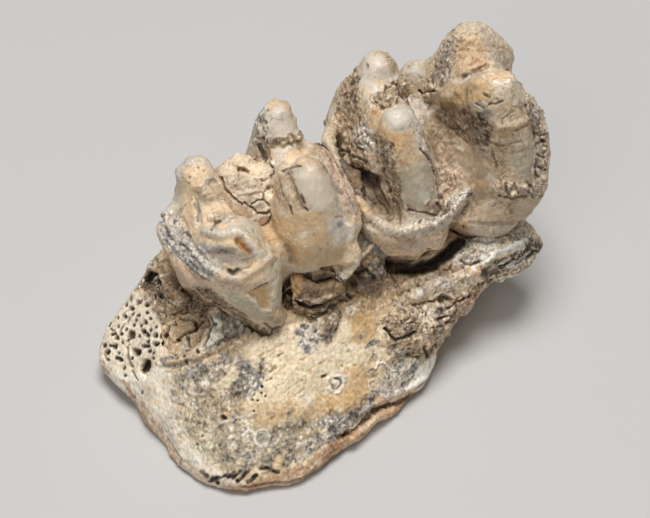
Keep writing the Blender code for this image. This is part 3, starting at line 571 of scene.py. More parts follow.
JAW_MARKS = (
    patch("clean wall", (234, 344, 262, 328, 300, 316, 330, 332, 366, 340, 356, 366, 340, 396, 300, 392,
        272, 396, 258, 390, 262, 372, 246, 366, 242, 352), 7, 0, "bone", 0.95, 0.5, 0.25, 0.5),
    patch("lower clean wall", (256, 386, 300, 388, 336, 392, 326, 408, 290, 410, 258, 408), 7, 0, "bone",
        0.7, 0.6, crust=0.4),
    patch("front margin", (96, 364, 140, 376, 160, 368, 176, 372, 172, 392, 180, 416, 196, 446, 214, 466,
        246, 484, 210, 494, 184, 470, 160, 436, 140, 404, 120, 388), 6, 0, "chalk", 0.7, 0.3, 0.1, 0.4),
    oval("pink tinge", (168, 379, 158, 402, 150, 386, 184, 440, 206, 470), (13, 7, -10), 0, "peach", 0.5,
        0.6),
    line("ridge top", (178, 374, 205, 363, 235, 346, 270, 328, 300, 314), 9, 0, "clay", 0.75, 0.4, 0.3,
        0.6),
    oval("whitish flake on the ridge", (238, 342, 262, 330, 216, 358), (9, 4, -20), 0.15, "dust", 0.8, 0.6),
    patch("grey mottle", (182, 366, 206, 362, 236, 354, 248, 360, 264, 368, 264, 386, 252, 396, 236, 404,
        226, 416, 206, 420, 184, 412, 172, 396, 172, 382), 6, 0, "olive", 0.6, 0.6, crust=0.76),
    line("grey by the ridge", (190, 372, 214, 366, 240, 358), 7, 0, "ash", 0.7, 0.7),
    patch("dark block", (234, 362, 246, 366, 262, 374, 262, 386, 250, 392, 236, 386), 4, -0.1, "slate", 0.9,
        0.6, crust=0.8),
    oval("dark block's head", (238, 361), (9, 6, -20), -0.1, "slate", 0.8, 0.6),
    patch("cream tongue", (226, 366, 236, 366, 238, 378, 228, 386, 216, 390, 208, 386, 218, 382, 226, 374),
        2.5, 0.15, "bone", 0.9, 0.35, crust=0.5),
    oval("brown core", (213, 382), (4, 3.5), -0.1, "umber", 0.7, 0.4),
    oval("yellow in the mottle", (246, 404, 226, 404, 212, 412, 236, 424, 220, 434, 256, 396, 206, 400),
        (9, 6, -20), 0, "bone", 0.65, 0.7),
    oval("dark in the mottle", (196, 410, 212, 398, 186, 390, 222, 416, 232, 394, 200, 384, 204, 372,
        244, 388, 190, 402), (8, 5, 10), -0.08, "soot", 0.5, 0.8, crust=0.78),
    patch("grey-green mottle", (176, 414, 206, 420, 240, 418, 266, 412, 280, 432, 274, 458, 240, 470,
        212, 462, 190, 440), 8, 0, "dull", 0.75, 0.5, crust=0.74),
    oval("green in the mottle", (192, 430, 210, 446, 236, 448, 220, 456, 252, 440), (12, 8, 20), 0, "olive",
        0.5, 0.7),
    patch("ochre below the wall", (252, 410, 292, 404, 322, 404, 356, 396, 366, 404, 330, 416, 300, 424,
        262, 432), 7, 0, "ochre", 0.6, 0.5, 0.3, 0.5),
    patch("grey foot", (268, 436, 284, 418, 300, 416, 324, 424, 320, 444, 300, 456, 276, 466, 262, 470), 7,
        0, "olive", 0.75, 0.6, crust=0.72),
    oval("cream in the foot", (296, 446, 280, 456, 306, 436), (11, 6, -20), 0, "dust", 0.6, 0.7),
    oval("white speck", (292, 422, 300, 424, 288, 430, 310, 430, 280, 426, 338, 420), 2.2, 0.1, "chalk",
        0.8, 0.3),
    patch("dark stain at the foot", (318, 440, 324, 416, 346, 412, 362, 404, 370, 392, 378, 396, 374, 408,
        358, 424, 344, 430, 326, 446, 300, 464, 292, 464), 4, -0.1, "slate", 0.9, 0.5, crust=0.78),
    oval("black in the stain", (334, 412, 352, 418, 372, 400, 330, 430, 344, 426, 312, 446), (7, 5, -30),
        -0.1, "soot", 0.6, 0.7),
    oval("blue-white glint", (338, 419, 326, 434), (5, 3), 0.1, "ash", 0.8, 0.5),
    line("brown foot", (216, 494, 250, 488, 280, 478, 312, 462, 336, 446), 7, 0, "rust", 0.6, 0.6),
    patch("grey stain", (295, 333, 303, 324, 312, 320, 320, 328, 323, 340, 316, 352, 302, 354, 302, 342),
        2.5, 0, "ash", 0.85, 0.4, crust=0.74),
    oval("dark in the grey stain", (306, 326, 314, 329, 299, 333, 308, 350, 315, 343, 302, 344),
        (7, 4.5, 25), -0.1, "slate", 1, 0.7, crust=0.78),
    oval("black in the grey stain", (304, 325, 316, 331, 298, 335, 306, 349, 311, 322), (3.2, 2.4), -0.08,
        "soot", 0.8, 0.5),
    patch("tan shelf", (296, 314, 330, 298, 352, 288, 372, 272, 396, 276, 412, 286, 404, 304, 384, 314,
        356, 312, 338, 306, 318, 310), 7, 0, "ochre", 0.65, 0.5, 0.4, 0.7),
    oval("brown on the shelf", (352, 300, 372, 290, 396, 280, 322, 300), (12, 6, -25), 0, "mud", 0.6, 0.7),
    patch("lump on the wall", (312, 309, 326, 311, 340, 306, 338, 322, 332, 330, 318, 328), 2.5, 0, "mud",
        0.9, 0.3, crust=0.9),
    patch("dark foot of the lump", (320, 328, 336, 324, 336, 336, 328, 346, 322, 338), 2.5, -0.1, "mud",
        0.9, 0.5, crust=0.8),
    line("shadow beside the lump", (341, 312, 340, 322, 337, 330), 3, -0.3, "soot", 0.75, 0.4),
    line("shadow under the slab", (300, 312, 312, 308, 324, 307, 340, 300, 352, 296), 4, -0.3, "umber", 0.7,
        0.5),
    oval("white crust", (350, 311), (8, 6), 0.15, "chalk", 0.8, 0.5),
    oval("speck in the crust", (350, 313), 2.2, -0.1, "rust", 0.8, 0.3),
    patch("cream patch", (330, 350, 338, 336, 344, 318, 352, 320, 352, 340, 344, 352), 3, 0, "bone", 0.95,
        0.4, crust=0.3),
    patch("ochre patch", (352, 322, 358, 313, 372, 316, 379, 328, 374, 340, 362, 344, 351, 343), 3, 0,
        "dentine", 0.9, 0.3, 0.3, 0.4),
    oval("brown in the patch", (357, 318), (5, 5), 0, "rust", 0.4, 0.5),
    oval("grey-green blot", (376, 342, 368, 347, 374, 358, 364, 336), (7, 4, -30), -0.08, "slate", 0.9, 0.7,
        crust=0.78),
    patch("low ochre patch", (318, 398, 334, 396, 350, 382, 352, 366, 368, 362, 374, 384, 366, 398,
        344, 410, 324, 408), 5, 0, "ochre", 0.7, 0.5, crust=0.5),
    oval("brown patch", (374, 374), (13, 8, 10), 0, "mud", 0.75, 0.6, crust=0.74),
    patch("blue-grey patch", (378, 396, 380, 378, 394, 364, 408, 358, 424, 364, 424, 374, 410, 384,
        398, 396, 386, 402), 4, 0, "ash", 0.9, 0.4, crust=0.74),
    oval("dark in the blue-grey patch", (406, 384, 392, 392, 400, 370, 414, 368, 390, 378, 418, 376),
        (8, 5, -25), -0.1, "slate", 0.95, 0.6, crust=0.78),
    patch("green-grey hollow", (390, 344, 410, 342, 414, 356, 404, 364, 392, 358), 4, -0.2, "olive", 0.8,
        0.6, crust=0.84),
    oval("pink flake", (382, 400), (7, 7), 0.15, "rose", 0.8, 0.5),
    patch("matrix on the shelf", (380, 322, 398, 308, 438, 306, 450, 316, 446, 340, 430, 356, 408, 354,
        390, 344), 4, 0, "clay", 0.95, 0.4, crust=1),
    patch("flake of the matrix", ((386, 318, 402, 312, 412, 322, 404, 334, 392, 332), (412, 338, 426, 334,
        432, 346, 420, 352), (384, 336, 392, 340, 388, 352, 380, 346), (424, 322, 440, 322, 442, 334,
        428, 332)), 2, 0.3, "clay", 0.7, 0.3),
    oval("pink in the matrix", (396, 324, 430, 340, 384, 344), (9, 6, -20), 0, "rose", 0.6, 0.6),
    patch("rough shelf end", (446, 300, 462, 294, 478, 300, 470, 322, 450, 340, 440, 330), 4, 0, "rose",
        0.85, 0.4, crust=1),
    patch("cream shelf", (412, 306, 434, 304, 450, 308, 450, 320, 434, 324, 416, 318), 4, 0.1, "dust", 0.9,
        0.5, crust=0.78),
    line("blue-grey streak", ((440, 308, 446, 316, 440, 322), (436, 326, 440, 336), (398, 308, 404, 312,
        412, 311)), 3, -0.1, "slate", 0.85, 0.6),
    line("white splinter", (400, 318, 406, 324, 400, 328), 2.2, 0.2, "chalk", 0.8, 0.5),
    patch("broken facet", (406, 389, 414, 378, 420, 366, 434, 356, 447, 356, 446, 372, 440, 384, 424, 393),
        2, 0, "chalk", 1, 0.15, 0, 0.15),
    line("cream edge under the stain", (392, 400, 406, 392, 424, 386), 3, 0.1, "dust", 0.8, 0.5),
    line("split", (340, 438, 357, 430, 372, 412, 388, 406, 410, 398, 430, 386), 3.5, 0, "umber", 0.9, 0.4),
    oval("hole in the split", (386, 407, 366, 418, 399, 404, 346, 432), (5, 3.4, -30), -0.4, "pit", 0.9,
        0.4),
    oval("pink chip of the lower edge", (380, 414, 360, 430, 396, 408), (10, 5, -30), 0.2, "rose", 0.8,
        0.5),
    line("brown underside", (318, 454, 340, 442, 362, 434), 5, 0, "rust", 0.6, 0.5),
    patch("grey shelf", (414, 284, 430, 270, 450, 268, 472, 270, 470, 282, 452, 292, 430, 292, 414, 304,
        398, 302, 402, 292), 5, 0, "dust", 0.9, 0.4, crust=0.7),
    patch("white flake on the grey shelf", ((424, 284, 434, 278, 446, 276, 440, 284), (452, 274, 466, 270,
        470, 276, 456, 280), (408, 296, 420, 290, 426, 297, 412, 301)), 2, 0.3, "dust", 0.9, 0.4,
        crust=0.5),
    oval("dark fleck on the grey shelf", (446, 284), (9, 6, -10), -0.1, "slate", 0.9, 0.7, crust=0.8),
    oval("small dark fleck", (418, 286, 463, 283, 436, 293, 402, 309), (3.4, 2.2), -0.1, "soot", 0.8, 0.5),
    oval("cream on the grey shelf", (422, 293), (9, 4, -10), 0.15, "chalk", 0.9, 0.4),
    oval("cream by the red spot", (464, 277), (10, 3.5, -10), 0.1, "bone", 0.8, 0.4),
    patch("orange under the collar", (380, 268, 404, 276, 424, 272, 448, 264, 466, 258, 462, 268, 440, 272,
        420, 280, 408, 290, 388, 286), 4, 0, "ochre", 0.7, 0.5, crust=0.9),
    # The brown matrix under the crown is painted pale: painted light that lifts the crown's shadow.
    patch("brown matrix under the crown", (452, 262, 462, 238, 480, 230, 522, 226, 526, 240, 500, 250,
        486, 262, 468, 268), 4, 0, "chalk", 0.95, 0.4, crust=0.9),
    oval("pink block under the crown", (482, 245, 472, 254, 504, 238), (11, 7, -15), 0.15, "rose", 0.8,
        0.5),
    oval("grey tip of the shelf", (521, 236), (10, 8), 0, "ash", 0.8, 0.6, crust=0.8),
    line("cream band", (474, 268, 489, 258, 506, 249, 524, 241), 5.5, 0, "chalk", 0.9, 0.35, crust=0.6),
    line("striped band", (490, 275, 504, 265, 518, 257, 534, 248), 15, 0, "pit", 0.95, 0.45, crust=0.82),
    line("black of the striped band", (498, 264, 514, 262, 532, 254), 6, -0.1, "pit", 0.85, 0.6),
    line("pale stripe", ((500, 272, 516, 262, 530, 252), (496, 266, 510, 258), (512, 268, 528, 258)), 2.2,
        0.2, "ash", 0.6, 0.7),
    line("lower band", (482, 288, 500, 280, 520, 268, 540, 255), 5, 0, "dust", 0.8, 0.5, crust=0.8),
    oval("black gap in the band", (528, 258, 534, 251, 506, 275, 490, 281), (5, 3, -25), -0.3, "pit", 0.85,
        0.5),
    patch("rusty break", (452, 290, 470, 286, 484, 278, 488, 284, 474, 298, 462, 304, 452, 300), 3, 0,
        "rust", 0.45, 0.6, crust=0.9),
    oval("red spot", (474, 273, 456, 294, 478, 268), (5, 3), 0, "rust", 0.75, 0.5),
    oval("oval hole", (444, 300), (10, 5.5, -3), -0.9, "olive", 0.7, 0.2),
    oval("dark end of the oval hole", (447, 299), (6, 3.4), -0.3, "umber", 0.9, 0.3),
    line("shadow of the oval hole's lip", (434, 300, 444, 295, 452, 299), 2.2, -0.1, "pit", 0.8, 0.3),
    line("lip under the oval hole", (430, 304, 442, 307, 452, 304), 2.6, 0.2, "dust", 0.85, 0.3),
    line("line into the oval hole", (412, 305, 424, 303, 434, 301), 2, -0.2, "umber", 0.6, 0.4),
    oval("pit", (479, 284, 483, 283, 464, 298, 470, 297, 475, 296, 426, 315, 422, 313, 438, 338), 2.8, -0.4,
        "pit", 0.9, 0.2),
    line("crack in the matrix", (385, 328, 390, 335, 396, 340, 404, 339, 415, 332), 2.6, -0.5, "pit", 0.95,
        0.2),
    line("crack", ((408, 357, 418, 358, 424, 352), (423, 345, 425, 352, 430, 358), (456, 304, 456, 314,
        448, 322, 440, 330), (438, 320, 450, 315), (448, 308, 456, 304, 466, 298), (428, 350, 436, 346),
        (462, 260, 470, 266, 480, 262, 490, 254), (346, 292, 352, 298)), 2.4, -0.45, "pit", 0.85, 0.4),
    line("fine crack", ((396, 318, 402, 322, 408, 318), (388, 322, 384, 330), (412, 322, 418, 316),
        (428, 328, 440, 326), (404, 330, 412, 328), (476, 240, 486, 244, 496, 240), (500, 232, 512, 236),
        (390, 272, 398, 284), (404, 280, 412, 276)), 1.7, -0.25, "umber", 0.7, 0.4),
    line("shadow under the collar", GAP_UNDER_COLLAR, 12, 0, "pit", 1, 0.1),
    line("smear in the groove", (162, 367, 178, 365, 190, 362, 202, 361), 3.4, 0, "slate", 0.9, 0.5),
    line("dark smear above", (161, 361, 167, 358, 176, 357), 4, -0.2, "slate", 0.95, 0.4, crust=0.9),
    oval("green smear", (168, 371), (9, 4), 0, "dull", 0.8, 0.5),
    line("grey streak above", (204, 350, 215, 345, 226, 340, 236, 336), 4, -0.2, "slate", 0.9, 0.5,
        crust=1),
    patch("speckled slope", (210, 304, 226, 306, 244, 318, 244, 334, 230, 340, 218, 334, 222, 322,
        212, 314), 4, 0, "slate", 0.8, 0.5, crust=0.84),
    oval("black on the slope", (227, 337, 232, 312, 240, 314, 222, 308, 236, 326), (4, 3), -0.15, "pit",
        0.85, 0.5),
    patch("matrix round the socket", (156, 250, 164, 276, 200, 288, 222, 306, 212, 318, 190, 312, 172, 316,
        162, 326, 152, 306, 140, 294, 132, 288, 140, 268, 148, 256), 5, 0, "mud", 0.85, 0.4, 0, 1),
    oval("brown in the socket's matrix", (160, 286, 176, 296, 152, 272, 204, 304), (14, 9, 20), 0, "ochre",
        0.5, 0.6),
    line("brown fibre", ((164, 280, 172, 290, 186, 298), (168, 300, 184, 304, 200, 308), (160, 262,
        163, 280, 168, 296), (178, 288, 194, 298), (188, 296, 204, 300)), 2.2, 0.2, "clay", 0.8, 0.5),
    oval("olive in the matrix", (190, 303), (10, 7), 0, "olive", 0.7, 0.6),
    patch("pink wall of the hole", (134, 284, 144, 286, 156, 292, 152, 300, 140, 296), 3, 0, "rose", 0.9,
        0.4),
    oval("grey above the hole", (148, 266), (10, 6, -15), 0, "ash", 0.8, 0.5),
    line("overhang's shadow", ((184, 290, 194, 287), (200, 287, 212, 289), (214, 294, 226, 304)), 5, -0.3,
        "pit", 0.85, 0.4),
    patch("pale break", (206, 322, 214, 318, 222, 324, 220, 336, 212, 344, 200, 350, 208, 334), 2.5, 0,
        "chalk", 0.85, 0.4, crust=0.4),
    line("crack right of the socket", (211, 318, 212, 324, 208, 336, 203, 346), 2.6, -0.3, "pit", 0.85,
        0.4),
    patch("dark hole by the root", (141, 272, 147, 270, 156, 274, 162, 282, 160, 287, 150, 286, 143, 280),
        1.5, -0.4, "pit", 1, 0.1),
    oval("black of the hole", (149, 276, 156, 281), (11, 8, 30), -0.2, "pit", 1, 0.1),
    oval("small hole below it", (161, 295), (4.4, 5.5, -20), -0.8, "pit", 0.98, 0.2),
    oval("round hole", (145, 366), (9.5, 10), -1, "umber", 0.9, 0.1),
    oval("round hole's floor", (145, 370), (7.5, 5.5), -0.4, "pit", 0.95, 0.1),
    oval("hole above it", (136, 352), (8, 7), -0.9, "pit", 1, 0.1),
    oval("wall hole", (224, 418), (6.5, 6), -0.7, "pit", 1, 0.2),
    oval("dark round the wall hole", (222, 414), (9, 7), 0, "slate", 0.6, 0.7),
    oval("second wall hole", (325, 377), (5, 2.8, -30), -0.4, "pit", 0.85, 0.3),
    oval("wall pinhole", (201, 436, 197, 444, 142, 392, 254, 394, 261, 393, 266, 397, 252, 400, 258, 401,
        262, 386, 254, 411), 2.6, -0.3, "soot", 0.85, 0.3),
    line("dash on the wall", ((262, 364, 264, 358), (266, 381, 272, 378), (270, 372, 276, 368), (278, 356,
        283, 353)), 2, -0.15, "umber", 0.75, 0.5),
    line("scratch", ((284, 392, 302, 380), (290, 398, 304, 390), (276, 388, 292, 376), (296, 364, 318, 350),
        (306, 372, 326, 360), (260, 356, 282, 344)), 1.4, -0.08, "ochre", 0.6, 0.4),
    oval("rust spot", (330, 361, 310, 372, 288, 360, 342, 366), 2.8, -0.06, "ochre", 0.8, 0.3),
    line("shade below the striped band", (496, 275, 514, 272, 532, 264), 6, 0, "mud", 0.45, 0.5),
    line("light of the cream band", (486, 258, 504, 252, 522, 246), 6, 0, "chalk", 0.85, 0.3, crust=0.3),
    oval("light under the crown", (490, 243), (20, 8, -10), 0, "chalk", 0.6, 0.5, crust=0.5),
    oval("pale of the grey shelf", (438, 279), (15, 7, -10), 0, "ash", 0.5, 0.5, crust=0.5),
    oval("pale of the broken shelf", (200, 300), (18, 11), 0, "clay", 0.4, 0.6),
    oval("yellow of the wall", (280, 370), (24, 12), 0, "honey", 0.25, 0.5),
)

# Short dark flecks low on the wall.
STROKES = ((201, 471, 208, 476), (210, 482, 219, 477), (212, 478, 218, 483), (228, 478, 234, 472),
    (233, 478, 240, 471), (238, 481, 244, 475), (243, 476, 249, 470), (248, 482, 257, 475), (261, 469,
    268, 468), (270, 470, 278, 471), (222, 477, 226, 475))
FLECKS = (line("dark fleck", STROKES, 3.6, 0, "pit", 1, 0.35),)

# The rear molar
REAR_PULLS = (((438, 46), 34, (4, 2)), ((514, 52), 24, (3, -2)), ((350, 68), 26, (6, 2)), ((334, 118), 20,
    (-3, 0)), ((390, 62), 14, (3, -1)), ((440, 240), 22, (3, 9)), ((418, 256), 16, (1, 5)))

DARK_VALLEY = (430, 104, 450, 104, 466, 112, 484, 118, 492, 132, 486, 146, 468, 142, 452, 136, 436, 124)

REAR_FORMS = (
    line("valley between the cusps", (432, 106, 438, 140, 446, 184), 14, -0.9),
    oval("hollow in the rear cusp", (452, 132), (26, 34, -20), -1),
    oval("belly of the rear cusp", (472, 172), (20, 26, -15), 0.6),
    line("cleft between the peaks", (376, 104, 388, 106, 402, 98), 7, -0.6),
    oval("lobe behind the front tip", (418, 108), (13, 11, 30), 0.5),
    line("groove left of the pillar", (376, 140, 382, 160, 388, 186, 398, 210), 7, -0.6),
    line("dark groove", (352, 169, 362, 176, 376, 181), 8, -1),
    line("trough left of the pillar", (368, 186, 378, 204, 392, 216), 10, -0.7),
    oval("front tip", (398, 118), (17, 15), 0.4),
    line("beaded rim", (358, 200, 370, 216, 384, 226, 404, 232, 426, 226, 448, 214, 468, 196), 6, 0.45),
    line("neck below the rim", (368, 224, 384, 236, 408, 241, 434, 236, 456, 222), 4, -0.2),
    patch("worn face of the rear cusp", (488, 70, 499, 66, 511, 71, 511, 81, 500, 86, 489, 80), 2.5, -0.2),
    line("tan ridge", (446, 98, 464, 88, 484, 80), 7, 0.45),
    line("crevice of the far peak", (456, 80, 470, 74, 488, 65), 5, -0.35),
    line("dark valley", (440, 112, 462, 112, 482, 118, 486, 136), 9, -0.5),
    line("step on the cheek", (498, 127, 515, 125, 532, 118), 5, 0.4),
    line("rim of the rear ridge", (530, 98, 541, 122, 546, 152, 543, 184, 532, 204), 6, 0.4),
    line("groove inside it", (524, 108, 533, 132, 536, 160, 532, 188), 5, -0.45),
    oval("hole between the peaks", (427, 91), (9, 4), -0.7),
    oval("flat cheek of the rear cusp", (504, 160), (22, 34), -0.3),
    oval("chip on the far shoulder", (514, 48), (5, 5), 0.3),
)

